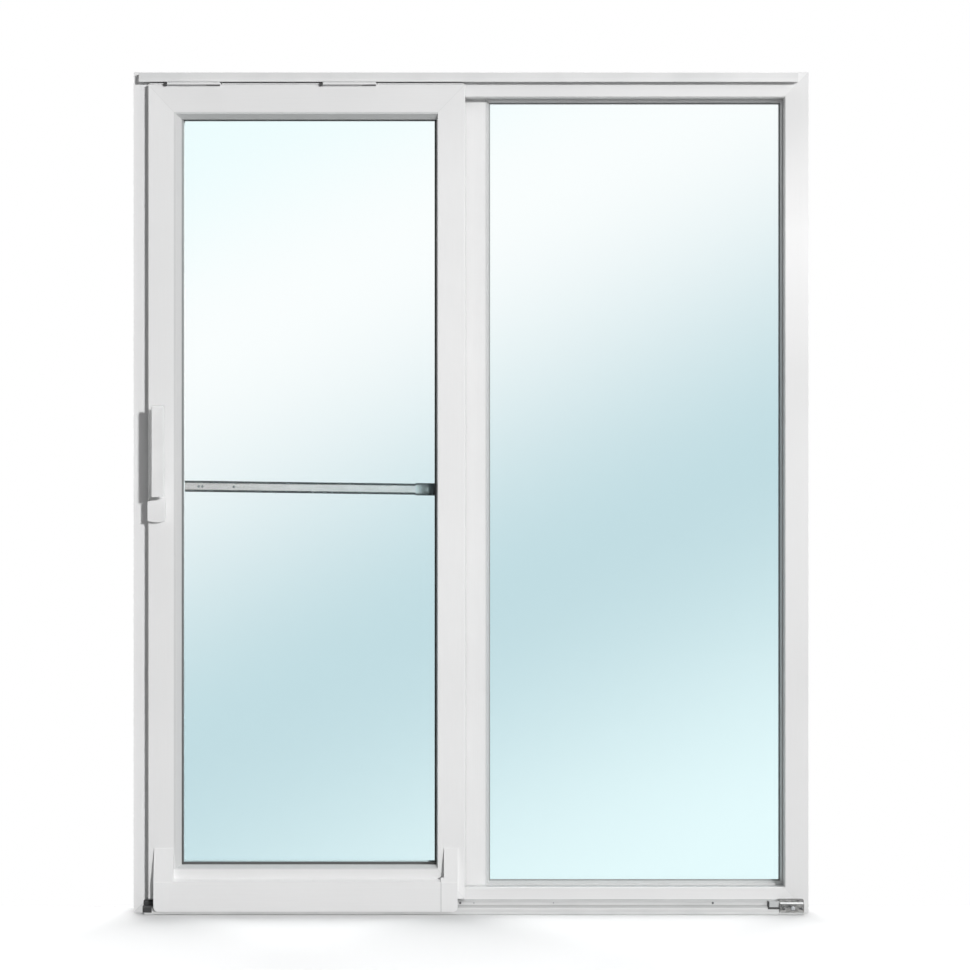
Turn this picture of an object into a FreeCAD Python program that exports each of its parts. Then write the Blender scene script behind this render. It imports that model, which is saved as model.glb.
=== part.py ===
import FreeCAD, Part
import os
import re
import Sketcher

# White uPVC sliding patio door, seen from the room: the left sash slides to the right in front
# of a fixed light.  X runs along the width, Z up, and Y from the room towards the garden.
# The origin is the middle of the sill's underside.  Depths are measured from the frame's front face.

SIZES = {
    "frame_width": 1630.0,        # over the two jambs
    "frame_height": 2030.0,       # over sill and head
    "frame_depth": 95.0,          # front face to back face
    "frame_face": 58.0,           # visible face of the jambs
    "head_face": 61.0,            # visible face of the head
    "sill_face": 62.0,            # visible face of the sill
    "run_depth": 40.0,            # depth of the front channel that the sash runs in
    "groove_depth": 7.0,          # undercut behind the running face that takes the beads
    "back_lip_thick": 12.0,       # weather lip at the back of the frame
    "back_lip_cover": 7.0,       # how far that lip stands in past the running face
    "edge_bevel": 2.5,            # bevel on the frame's front inner edges
    "cut_margin": 2.0,            # cutting outlines run this far past the material
    "post_left": 46.0,            # centre post, left side from the middle
    "post_right": 34.0,           # centre post, right side from the middle
    "pane_thick": 4.0,            # one sheet of glass
    "pane_gap": 16.0,             # sealed space between the two sheets
    "pane_edge_gap": 2.0,         # packer space round a glass unit
    "spacer_inset": 0.5,          # spacer bar back from the glass edge
    "spacer_width": 6.0,          # spacer bar across the sight line
    "gasket_thick": 3.0,          # wedge gasket between bead and glass
    "gasket_cover": 6.5,          # gasket width, partly behind the bead
    "fixed_bead_width": 9.0,      # bead of the fixed light, seen from the room
    "fixed_bead_flat": 3.0,       # its flat nose before the slope starts
    "fixed_bead_drop": 1.0,       # its nose behind the front channel
    "fixed_sight_line": 3.0,      # dark gasket edge left showing
    "fixed_right_width": 6.0,     # bead and gasket edge at the right jamb
    "fixed_right_sight": 2.0,
    "fixed_top_width": 7.0,       # and under the head
    "fixed_top_sight": 1.5,
    "sash_overlap": 21.0,         # sash lip laps the jamb's face
    "head_overlap": 29.0,         # the head's face
    "sill_overlap": 27.0,         # and the sill's face
    "sash_meet": 14.0,            # right edge of the sash, left of the middle
    "sash_proud": 24.0,           # sash face in front of the frame's face
    "sash_lip_thick": 14.0,       # thickness of the sash lip
    "sash_run_gap": 12.0,         # nested body to the running faces
    "sash_post_gap": 6.0,         # back of the sash to the centre post
    "sash_bevel_wide": 2.0,       # bevel round the sash's front edge
    "sash_bevel_deep": 2.0,
    "stile_left_face": 62.0,      # sash face widths
    "stile_right_face": 65.5,
    "rail_top_face": 67.0,
    "rail_bottom_face": 72.0,
    "sash_back_lip": 11.0,        # glazing lip at the back of the sash
    "sash_bead_width": 16.0,      # glazing bead of the sash at the top
    "bead_left_width": 17.5,
    "bead_right_width": 3.5,      # slim bead at the meeting stile
    "bead_bottom_width": 10.0,
    "sash_bead_flat": 4.0,
    "sash_bead_drop": 1.0,
    "sash_sight_line": 5.0,       # dark gasket edge left showing, side by side
    "sight_right": 3.5,
    "sight_bottom": 6.5,
    "sight_top": 0.5,
    "seal_inset": 6.0,            # weather seal behind the sash lip
    "seal_width": 10.0,
    "seal_thick": 5.0,
    "bar_height": 16.0,           # bright face of the bar across the sash glass
    "bar_trim": 5.5,              # black strip above and below it
    "bar_thick": 9.0,
    "bar_middle": 1030.0,         # height of the bar at its left end
    "bar_drop": 8.0,              # it hangs this much lower at its right end
    "bar_gap": 2.0,               # space between the glass and the bar
    "bar_end_length": 48.0,       # dark end block
    "bar_end_extra": 1.5,
    "guide_depth": 24.0,          # guide rail on the head
    "guide_height": 26.0,         # its lower edge under the frame's top
    "guide_drop": 5.0,            # its upper edge under the frame's top
    "guide_wall": 2.5,
    "guide_slot": 8.0,
    "guide_left": 15.0,           # rail end from the frame's left side
    "guide_right": 27.0,
    "arm_length": 133.0,          # stay arms between sash and guide rail
    "arm_height": 4.5,            # strip of the arm along the sash's upper edge
    "arm_thick": 4.0,
    "arm_corner": 1.5,
    "arm_tab": 14.0,              # tab that turns over the sash's top edge
    "arm_tab_thick": 2.0,
    "arm_tab_back": 2.0,          # tab behind the pin
    "arm_pin_radius": 3.0,
    "arm_shoe_radius": 6.0,
    "arm_shoe_height": 5.0,
    "arm_shoe_lift": 2.5,         # shoe above the inside floor of the guide rail
    "arm_left_at": 43.0,          # left arm's end from the sash's left edge
    "arm_right_at": 418.0,
    "track_depth": 34.0,          # running rail on the sill
    "track_base": 5.0,            # underside of rail and stop block over the ground line
    "track_foot_height": 16.0,
    "track_wall_depth": 12.0,
    "track_wall_height": 30.0,
    "track_wall_bevel": 3.0,
    "track_ridge_at": 25.0,       # round ridge that carries the rollers
    "track_ridge_radius": 3.0,
    "track_left": 26.0,           # rail end from the frame's left side
    "track_right": 73.0,          # rail end, where the stop block starts
    "stop_length": 59.0,          # metal stop block at the rail's right end
    "stop_depth": 37.0,
    "stop_height": 33.5,
    "stop_ledge": 28.0,           # height of its front step
    "stop_ledge_depth": 9.0,      # the step stands out this far
    "stop_bevel": 5.0,
    "buffer_length": 28.0,        # buffer in front of the stop block
    "buffer_depth": 20.0,
    "buffer_height": 14.0,
    "roller_groove_radius": 5.5,  # roller, at the bottom of its groove
    "roller_rim": 2.5,            # flanges stand this much higher
    "roller_width": 10.0,
    "roller_side_gap": 0.6,       # groove side to ridge
    "roller_bore_gap": 0.2,
    "roller_seat_gap": 0.3,       # running gap on the ridge
    "axle_radius": 2.0,
    "cheek_thick": 2.0,           # carriage yoke
    "cheek_gap": 1.0,             # roller side to yoke
    "cheek_bottom": 21.0,
    "carriage_front": 34.0,       # front of the carriage plate from the frame's face
    "carriage_top": 68.0,
    "carriage_length": 110.0,
    "carriage_inset": 60.0,       # from the cover's end to the carriage
    "cap_left_width": 47.0,       # end caps of the bottom cover
    "cap_right_width": 40.0,
    "cap_left_inset": 15.0,       # left cap from the sash's left edge
    "cap_right_inset": 18.0,
    "cap_height": 158.0,
    "cap_nose": 2.0,              # thickness at the top of the wedge
    "cap_slope_end": 77.0,        # height where the wedge stops
    "cap_depth": 20.4,            # proud of the sash at the bottom
    "cap_skirt": 6.0,             # thickness below the sash
    "cap_round": 12.0,
    "cap_notch": 7.0,             # right cap is narrower above the cover by this much
    "cap_notch_gap": 4.0,         # start of the narrower part above the cover
    "cover_bottom": 7.0,          # height of the cover's lower edge over the ground line
    "cover_depth": 20.0,          # cover face in front of the sash
    "cover_face_top": 79.0,
    "cover_top": 85.0,            # where its sloping top meets the sash
    "cover_sheet": 3.0,
    "handle_height": 970.0,       # turning axis over the ground line
    "handle_inset": 22.0,         # turning axis from the sash's left edge
    "rosette_radius": 19.0,
    "rosette_thick": 6.0,
    "spindle_radius": 10.0,
    "handle_gap": 0.3,            # running gap of the handle
    "block_width": 43.0,          # foot of the lever
    "block_height": 54.0,
    "block_thick": 12.0,
    "block_sag": 4.0,             # its lower edge bows down this much
    "block_rise": 7.0,            # its upper edge is this much higher at the right
    "block_round": 1.0,           # rounded front edges of the foot
    "grip_width": 30.0,           # upright grip
    "grip_offset": 7.0,           # middle of the grip, right of the axis
    "grip_thick": 16.0,
    "grip_reach": 60.0,           # grip's front from the sash face
    "grip_bottom": 34.0,          # from the axis up to the grip's lower end
    "grip_top": 253.0,            # from the axis up to its upper end
    "neck_height": 26.0,          # cranked neck between foot and grip
    "neck_lift": 3.0,             # underside of the neck above the grip's lower end
    "neck_tang": 12.0,            # overlap of neck and foot
    "neck_width": 16.0,
    "neck_slant": 8.0,            # slanted corner at the back of the neck
    "neck_root": 3.0,             # neck runs this far into the grip
    "grip_round": 2.0,
    "grip_crown": 4.0,            # rounded upper end
}

doc = FreeCAD.newDocument("patio_door")
sheet = doc.addObject("Spreadsheet::Sheet", "Sizes")
for row, (alias, number) in enumerate(SIZES.items(), start=1):
    sheet.set("A%d" % row, alias.replace("_", " "))
    sheet.set("B%d" % row, str(number))
    sheet.setAlias("B%d" % row, alias)
doc.recompute()

parts = []      # finished pieces, each written to its own file
cuts = []       # pockets, whose volumes are compared with what they cut


def bound(text):
    """Expression text with every size read from the sheet."""
    return re.sub(r"[a-z][a-z_]+", lambda found: sheet_name(found.group(0)), text)


def sheet_name(word):
    return "Sizes." + word if word in SIZES else word


def amount(text):
    """Present value of an expression."""
    return float(sheet.evalExpression(text))


def tie(thing, prop, text):
    thing.setExpression(prop, bound(text))


def finish(thing, label):
    thing.Label = label
    parts.append(thing)
    return thing


def plane_of(body, role):
    return [item for item in body.Origin.OriginFeatures if item.Role == role][0]


def new_body(label, shift_y="0"):
    body = doc.addObject("PartDesign::Body", label)
    tie(body, "Placement.Base.y", shift_y)
    return finish(body, label)


def new_sketch(body, name, role):
    sketch = body.newObject("Sketcher::SketchObject", name)
    sketch.AttachmentSupport = (plane_of(body, role), "")
    sketch.MapMode = "FlatFace"
    return sketch


def pin_point(sketch, geometry, point, place):
    """Hold one sketch point at two expressions in the sketch's own x and y."""
    row_x = sketch.addConstraint(
        Sketcher.Constraint("DistanceX", -1, 1, geometry, point, amount(place[0])))
    tie(sketch, "Constraints[%d]" % row_x, place[0])
    row_y = sketch.addConstraint(
        Sketcher.Constraint("DistanceY", -1, 1, geometry, point, amount(place[1])))
    tie(sketch, "Constraints[%d]" % row_y, place[1])


def outline(body, name, role, corners, bows=None):
    """Closed outline through corners given as pairs of expressions.

    A side listed in bows is an arc instead of a line: it swells outwards by the rise given for the
    chord's length.  An outline with bows runs anticlockwise.
    """
    sketch = new_sketch(body, name, role)
    spots = [FreeCAD.Vector(amount(x), amount(y), 0) for x, y in corners]
    count = len(spots)
    bows = bows or {}
    for i in range(count):
        start, end = spots[i], spots[(i + 1) % count]
        side = Part.LineSegment(start, end)
        if i in bows:
            along = (end - start).normalize()
            outward = FreeCAD.Vector(along.y, -along.x, 0)
            crown = (start + end) * 0.5 + outward * amount(bows[i][0])
            side = Part.Arc(start, crown, end)
        sketch.addGeometry(side, False)
    for i, (rise, chord) in bows.items():
        radius = "((%s)^2/4 + (%s)^2) / (2*(%s))" % (chord, rise, rise)
        row = sketch.addConstraint(Sketcher.Constraint("Radius", i, amount(radius)))
        tie(sketch, "Constraints[%d]" % row, radius)
    for i in range(count):
        sketch.addConstraint(Sketcher.Constraint("Coincident", i, 2, (i + 1) % count, 1))
    for i in range(count):
        pin_point(sketch, i, 1, corners[i])
    return sketch


def disc(body, name, role, middle, radius):
    sketch = new_sketch(body, name, role)
    spot = FreeCAD.Vector(amount(middle[0]), amount(middle[1]), 0)
    circle = Part.Circle(spot, FreeCAD.Vector(0, 0, 1), amount(radius))
    sketch.addGeometry(circle, False)
    row = sketch.addConstraint(Sketcher.Constraint("Radius", 0, amount(radius)))
    tie(sketch, "Constraints[%d]" % row, radius)
    pin_point(sketch, 0, 3, middle)
    return sketch


def pad(body, sketch, length, backwards=False, symmetric=False):
    feature = body.newObject("PartDesign::Pad", sketch.Name + "_pad")
    feature.Profile = sketch
    tie(feature, "Length", length)
    feature.Reversed = backwards
    feature.Midplane = symmetric
    sketch.Visibility = False
    body.Tip = feature
    return feature


def trim(body, sketch):
    """Cut right through the piece, both ways from the sketch."""
    feature = body.newObject("PartDesign::Pocket", sketch.Name + "_cut")
    feature.Profile = sketch
    feature.Type = "ThroughAll"
    feature.Midplane = True
    sketch.Visibility = False
    body.Tip = feature
    cuts.append(feature)
    return feature


def soften(body, radius, wanted):
    """Round the edges of the body's last feature that the test accepts."""
    doc.recompute()
    base = body.Tip
    names = ["Edge%d" % (i + 1) for i, edge in enumerate(base.Shape.Edges) if wanted(edge)]
    feature = body.newObject("PartDesign::Fillet", body.Name + "_round")
    feature.Base = (base, names)
    tie(feature, "Radius", radius)
    body.Tip = feature
    return feature


def box(name, x_low, x_high, y_low, y_high, z_low, z_high):
    block = doc.addObject("Part::Box", name)
    tie(block, "Length", "(%s) - (%s)" % (x_high, x_low))
    tie(block, "Width", "(%s) - (%s)" % (y_high, y_low))
    tie(block, "Height", "(%s) - (%s)" % (z_high, z_low))
    tie(block, "Placement.Base.x", x_low)
    tie(block, "Placement.Base.y", y_low)
    tie(block, "Placement.Base.z", z_low)
    return block


def ring(label, left, right, bottom, top, width, y_low, y_high):
    """Flat rectangular ring of one width."""
    whole = box(label + "_whole", left, right, y_low, y_high, bottom, top)
    hole = box(label + "_hole", "(%s) + %s" % (left, width), "(%s) - %s" % (right, width),
               "(%s) - cut_margin" % y_low, "(%s) + cut_margin" % y_high,
               "(%s) + %s" % (bottom, width), "(%s) - %s" % (top, width))
    cut = doc.addObject("Part::Cut", label)
    cut.Base = whole
    cut.Tool = hole
    return finish(cut, label)


# Lines that several pieces share.
FRONT = "(-frame_depth/2)"
FRAME = {"left": "(-frame_width/2)", "right": "(frame_width/2)",
         "bottom": "0", "top": "frame_height"}
RUN = {"left": "(-frame_width/2 + frame_face)", "right": "(frame_width/2 - frame_face)",
       "bottom": "sill_face", "top": "(frame_height - head_face)"}
SASH = {"left": "(%s - sash_overlap)" % RUN["left"], "right": "(-sash_meet)",
        "bottom": "(%s - sill_overlap)" % RUN["bottom"], "top": "(%s + head_overlap)" % RUN["top"]}
SASH_FACE = {"left": "stile_left_face", "right": "stile_right_face",
             "bottom": "rail_bottom_face", "top": "rail_top_face"}
SASH_FRONT = "(%s - sash_proud)" % FRONT
SASH_THICK = "(sash_proud + run_depth - sash_post_gap)"
UNIT = "(2*pane_thick + pane_gap)"
SIDES = ("left", "right", "bottom", "top")


def inward(side, lines, step):
    """Place a line parallel to one side, a step in from it."""
    sign = "+" if side in ("left", "bottom") else "-"
    return "(%s %s (%s))" % (lines[side], sign, step)


def moved(lines, step):
    return {side: inward(side, lines, step) for side in SIDES}


def mitred(side, lines, steps):
    """Front outline of one side of a frame, mitred at both ends through the given steps."""
    if side in ("top", "bottom"):
        ends = ("left", "right")
    else:
        ends = ("bottom", "top")
    rows = [{name: "0" for name in SIDES}] + steps
    if steps[0][side] == "0":
        rows = steps
    corners = []
    for end, order in ((ends[0], reversed(rows)), (ends[1], rows)):
        for row in order:
            across = inward(side, lines, row[side])
            along = inward(end, lines, row[end])
            corners.append((along, across) if side in ("top", "bottom") else (across, along))
    return corners


def profile_cut(body, name, side, lines, section):
    """Cut along a side.  The section is pairs of step in from the side and depth."""
    places = [(inward(side, lines, step), depth) for step, depth in section]
    if side in ("left", "right"):
        return trim(body, outline(body, name, "XY_Plane", places))
    return trim(body, outline(body, name, "YZ_Plane", [(depth, step) for step, depth in places]))


# Outer frame: four mitred lengths of one profile, a front channel for the sash, a groove for
# beads behind it and a weather lip at the back.
FACE = {"left": "frame_face", "right": "frame_face", "bottom": "sill_face", "top": "head_face"}
FRAME_STEPS = [{side: "(%s + back_lip_cover)" % FACE[side] for side in SIDES}]
FRAME_NAMES = {"left": "frame_jamb_left", "right": "frame_jamb_right",
               "bottom": "frame_sill", "top": "frame_head"}
LIP_FRONT = "(frame_depth - back_lip_thick)"
for side in SIDES:
    body = new_body(FRAME_NAMES[side], FRONT)
    pad(body, outline(body, FRAME_NAMES[side] + "_front", "XZ_Plane",
                      mitred(side, FRAME, FRAME_STEPS)), "frame_depth", backwards=True)
    face = FACE[side]
    beyond = face + " + back_lip_cover + cut_margin"
    profile_cut(body, FRAME_NAMES[side] + "_channel", side, FRAME, [
        (beyond, "-cut_margin"),
        (face + " - edge_bevel - cut_margin", "-cut_margin"),
        (face, "edge_bevel"),
        (face, "run_depth"),
        (face + " - groove_depth", "run_depth"),
        (face + " - groove_depth", LIP_FRONT),
        (beyond, LIP_FRONT)])

# Centre post: stands behind the sash's path between head and sill, with a weather lip for the
# fixed glass on its right, notched round the lips of head and sill.
POST_FRONT = "(%s + run_depth)" % FRONT
POST_LIP = "(%s - run_depth)" % LIP_FRONT
POST_DEEP = "(frame_depth - run_depth)"
GROOVE = moved(RUN, "-groove_depth")
post = new_body("centre_post", POST_FRONT)
tie(post, "Placement.Base.z", GROOVE["bottom"])
post_section = outline(post, "centre_post_section", "XY_Plane", [
    ("-post_left + edge_bevel", "0"),
    ("post_right", "0"),
    ("post_right", POST_LIP),
    ("post_right + back_lip_cover", POST_LIP),
    ("post_right + back_lip_cover", POST_DEEP),
    ("-post_left", POST_DEEP),
    ("-post_left", "edge_bevel")])
POST_LENGTH = "((%s) - (%s))" % (GROOVE["top"], GROOVE["bottom"])
pad(post, post_section, POST_LENGTH)
LIP_STEP = "(groove_depth + back_lip_cover)"
for name, low, high in (("foot", "-cut_margin", LIP_STEP),
                        ("head", "%s - %s" % (POST_LENGTH, LIP_STEP), POST_LENGTH + " + cut_margin")):
    trim(post, outline(post, "centre_post_" + name, "YZ_Plane", [
        (POST_LIP, low), (POST_DEEP + " + cut_margin", low),
        (POST_DEEP + " + cut_margin", high), (POST_LIP, high)]))

# Liner that fills the bead groove round the doorway.
liner = new_body("doorway_liner", POST_FRONT)
pad(liner, outline(liner, "doorway_liner_front", "XZ_Plane", [
    ("-post_left", GROOVE["top"]), (GROOVE["left"], GROOVE["top"]),
    (GROOVE["left"], GROOVE["bottom"]), ("-post_left", GROOVE["bottom"]),
    ("-post_left", RUN["bottom"]), (RUN["left"], RUN["bottom"]),
    (RUN["left"], RUN["top"]), ("-post_left", RUN["top"])]),
    "(%s) - run_depth" % LIP_FRONT, backwards=True)

# Fixed light: sealed unit against the back lip, wedge gasket and sloping beads from the room side.
LIGHT = {"left": "post_right", "right": RUN["right"], "bottom": RUN["bottom"], "top": RUN["top"]}
LIGHT_SEAT = {"left": "post_right", "right": GROOVE["right"],
              "bottom": GROOVE["bottom"], "top": GROOVE["top"]}
UNIT_BACK = "(%s + %s)" % (FRONT, LIP_FRONT)
UNIT_FRONT = "(%s - %s)" % (UNIT_BACK, UNIT)
BEAD_BACK = "(%s - gasket_thick)" % UNIT_FRONT
BEAD_FRONT = "(%s + fixed_bead_drop)" % POST_FRONT
BEAD_DEEP = "((%s) - (%s))" % (BEAD_BACK, BEAD_FRONT)
FIXED_BEAD = {"left": "fixed_bead_width", "right": "fixed_right_width",
              "bottom": "fixed_bead_width", "top": "fixed_top_width"}
FIXED_LINE = {"left": "fixed_sight_line", "right": "fixed_right_sight",
              "bottom": "fixed_sight_line", "top": "fixed_top_sight"}
BEAD_STEPS = [
    {"left": "0", "right": "groove_depth", "bottom": "groove_depth", "top": "groove_depth"},
    {"left": FIXED_BEAD["left"], "right": "(groove_depth + %s)" % FIXED_BEAD["right"],
     "bottom": "(groove_depth + %s)" % FIXED_BEAD["bottom"],
     "top": "(groove_depth + %s)" % FIXED_BEAD["top"]}]
for side in SIDES:
    label = "fixed_bead_" + side
    body = new_body(label, BEAD_FRONT)
    pad(body, outline(body, label + "_front", "XZ_Plane",
                      mitred(side, LIGHT_SEAT, BEAD_STEPS)), BEAD_DEEP, backwards=True)
    wide = FIXED_BEAD[side]
    profile_cut(body, label + "_slope", side, LIGHT, [
        ("fixed_bead_flat", "-cut_margin"), ("fixed_bead_flat", "0"),
        (wide, "(%s) - fixed_bead_flat" % BEAD_DEEP),
        (wide + " + cut_margin", "(%s) - fixed_bead_flat" % BEAD_DEEP),
        (wide + " + cut_margin", "-cut_margin")])


def sealed_unit(kind, seat, sight, front):
    """Two sheets of glass, the spacer between them and the gasket in front."""
    glass = moved(seat, "pane_edge_gap")
    finish(box(kind + "_glass_inner", glass["left"], glass["right"], front,
               "%s + pane_thick" % front, glass["bottom"], glass["top"]), kind + "_glass_inner")
    finish(box(kind + "_glass_outer", glass["left"], glass["right"],
               "%s + pane_thick + pane_gap" % front, "%s + %s" % (front, UNIT),
               glass["bottom"], glass["top"]), kind + "_glass_outer")
    bar = moved(glass, "spacer_inset")
    ring(kind + "_spacer", bar["left"], bar["right"], bar["bottom"], bar["top"], "spacer_width",
         "(%s + pane_thick)" % front, "(%s + pane_thick + pane_gap)" % front)
    seal = moved(sight, "-gasket_cover")
    ring(kind + "_gasket", seal["left"], seal["right"], seal["bottom"], seal["top"], "gasket_cover",
         "(%s - gasket_thick)" % front, front)


LIGHT_IN = {side: inward(side, LIGHT, "%s + %s" % (FIXED_BEAD[side], FIXED_LINE[side])) for side in SIDES}
sealed_unit("fixed", LIGHT_SEAT, LIGHT_IN, UNIT_FRONT)

# Sash: four mitred lengths with a lip that laps the frame, a rebate for the glass and a back lip.
SASH_BEAD = {"left": "bead_left_width", "right": "bead_right_width",
             "bottom": "bead_bottom_width", "top": "sash_bead_width"}
SASH_LINE = {"left": "sash_sight_line", "right": "sight_right",
             "bottom": "sight_bottom", "top": "sight_top"}
SASH_IN = {side: "(%s + %s + %s)" % (SASH_FACE[side], SASH_BEAD[side], SASH_LINE[side])
           for side in SIDES}
SASH_STEPS = [SASH_FACE, SASH_IN]
SASH_NAMES = {"left": "sash_stile_left", "right": "sash_stile_right",
              "bottom": "sash_rail_bottom", "top": "sash_rail_top"}
NEST = {"left": "(sash_overlap + sash_run_gap)", "bottom": "(sill_overlap + sash_run_gap)",
        "top": "(head_overlap + sash_run_gap)"}
REBATE_BACK = "(%s - sash_back_lip)" % SASH_THICK
BEHIND = SASH_THICK + " + cut_margin"
for side in SIDES:
    label = SASH_NAMES[side]
    body = new_body(label, SASH_FRONT)
    pad(body, outline(body, label + "_front", "XZ_Plane",
                      mitred(side, SASH, SASH_STEPS)), SASH_THICK, backwards=True)
    beyond = SASH_IN[side] + " + cut_margin"
    profile_cut(body, label + "_rebate", side, SASH, [
        (SASH_FACE[side], "-cut_margin"), (SASH_FACE[side], REBATE_BACK),
        (beyond, REBATE_BACK), (beyond, "-cut_margin")])
    notched = (side,) if side != "right" else ("bottom", "top")
    for edge in notched:
        profile_cut(body, label + "_lip_" + edge, edge, SASH, [
            ("-cut_margin", "sash_lip_thick"), (NEST[edge], "sash_lip_thick"),
            (NEST[edge], BEHIND), ("-cut_margin", BEHIND)])
    profile_cut(body, label + "_bevel", side, SASH, [
        ("-cut_margin", "-cut_margin"), ("sash_bevel_wide", "-cut_margin"),
        ("sash_bevel_wide", "0"), ("0", "sash_bevel_deep"), ("-cut_margin", "sash_bevel_deep")])

# Sash glazing: unit against the back lip, gasket and sloping beads.
SIGHT = {side: inward(side, SASH, SASH_FACE[side]) for side in SIDES}
SASH_UNIT = "(%s + %s - %s)" % (SASH_FRONT, REBATE_BACK, UNIT)
SASH_BEAD_FRONT = "(%s + sash_bead_drop)" % SASH_FRONT
SASH_BEAD_DEEP = "((%s) - gasket_thick - (%s))" % (SASH_UNIT, SASH_BEAD_FRONT)
for side in SIDES:
    label = "sash_bead_" + side
    body = new_body(label, SASH_BEAD_FRONT)
    pad(body, outline(body, label + "_front", "XZ_Plane",
                      mitred(side, SIGHT, [SASH_BEAD])), SASH_BEAD_DEEP, backwards=True)
    wide = SASH_BEAD[side]
    flat = "sash_bead_flat * %s / sash_bead_width" % wide
    profile_cut(body, label + "_slope", side, SIGHT, [
        (flat, "-cut_margin"), (flat, "0"),
        (wide, "(%s) - sash_bead_flat" % SASH_BEAD_DEEP),
        (wide + " + cut_margin", "(%s) - sash_bead_flat" % SASH_BEAD_DEEP),
        (wide + " + cut_margin", "-cut_margin")])
sealed_unit("sash", SIGHT, {side: inward(side, SASH, SASH_IN[side]) for side in SIDES}, SASH_UNIT)

# Weather seal behind the sash lip, on the three sides that lap the frame.
seal = new_body("sash_seal", "%s + sash_lip_thick" % SASH_FRONT)
seal_out = moved(SASH, "seal_inset")
seal_in = moved(SASH, "seal_inset + seal_width")
pad(seal, outline(seal, "sash_seal_front", "XZ_Plane", [
    (seal_out["right"], seal_out["top"]), (seal_out["left"], seal_out["top"]),
    (seal_out["left"], seal_out["bottom"]), (seal_out["right"], seal_out["bottom"]),
    (seal_out["right"], seal_in["bottom"]), (seal_in["left"], seal_in["bottom"]),
    (seal_in["left"], seal_in["top"]), (seal_out["right"], seal_in["top"])]),
    "seal_thick", backwards=True)

# Bar across the back of the sash glass, a little lower at its right end.
BAR_LEFT = inward("left", SASH, SASH_IN["left"])
BAR_RIGHT = inward("right", SASH, SASH_IN["right"])
BAR_FRONT = "(%s + %s + bar_gap)" % (SASH_FRONT, REBATE_BACK)
BLOCK_LEFT = "(%s - bar_end_length)" % BAR_RIGHT


def bar_line(place, offset):
    fall = "bar_drop * ((%s) - (%s)) / ((%s) - (%s))" % (place, BAR_LEFT, BAR_RIGHT, BAR_LEFT)
    return "bar_middle - %s + (%s)" % (fall, offset)


def bar_piece(body, name, left, right, low, high, thick):
    return pad(body, outline(body, name, "XZ_Plane", [
        (left, bar_line(left, low)), (right, bar_line(right, low)),
        (right, bar_line(right, high)), (left, bar_line(left, high))]), thick, backwards=True)


bar = new_body("cross_bar", BAR_FRONT)
bar_piece(bar, "cross_bar_front", BAR_LEFT, BLOCK_LEFT, "-bar_height/2", "bar_height/2", "bar_thick")
for name, low, high in (("upper", "bar_height/2", "bar_height/2 + bar_trim"),
                        ("lower", "-bar_height/2 - bar_trim", "-bar_height/2")):
    trim_strip = new_body("cross_bar_trim_" + name, BAR_FRONT)
    bar_piece(trim_strip, "cross_bar_trim_%s_front" % name, BAR_LEFT, BLOCK_LEFT, low, high, "bar_thick")
end_block = new_body("cross_bar_end", BAR_FRONT)
BLOCK_HALF = "bar_height/2 + bar_trim + bar_end_extra"
bar_piece(end_block, "cross_bar_end_front", BLOCK_LEFT, BAR_RIGHT,
          "-(%s)" % BLOCK_HALF, BLOCK_HALF, "bar_thick")

# Guide rail along the head: an upside-down channel with an inturned lip on each side of its slot.
GUIDE_LOW = "(frame_height - guide_height)"
GUIDE_TOP = "(frame_height - guide_drop)"
GUIDE_MIDDLE = "(-guide_depth/2)"
guide = new_body("guide_rail", FRONT)
tie(guide, "Placement.Base.x", "-frame_width/2 + guide_left")
pad(guide, outline(guide, "guide_rail_section", "YZ_Plane", [
    ("-guide_depth", GUIDE_LOW),
    (GUIDE_MIDDLE + " - guide_slot/2", GUIDE_LOW),
    (GUIDE_MIDDLE + " - guide_slot/2", GUIDE_LOW + " + guide_wall"),
    ("-guide_depth + guide_wall", GUIDE_LOW + " + guide_wall"),
    ("-guide_depth + guide_wall", GUIDE_TOP + " - guide_wall"),
    ("-guide_wall", GUIDE_TOP + " - guide_wall"),
    ("-guide_wall", GUIDE_LOW + " + guide_wall"),
    (GUIDE_MIDDLE + " + guide_slot/2", GUIDE_LOW + " + guide_wall"),
    (GUIDE_MIDDLE + " + guide_slot/2", GUIDE_LOW),
    ("0", GUIDE_LOW),
    ("0", GUIDE_TOP),
    ("-guide_depth", GUIDE_TOP)]), "frame_width - guide_left - guide_right")

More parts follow.
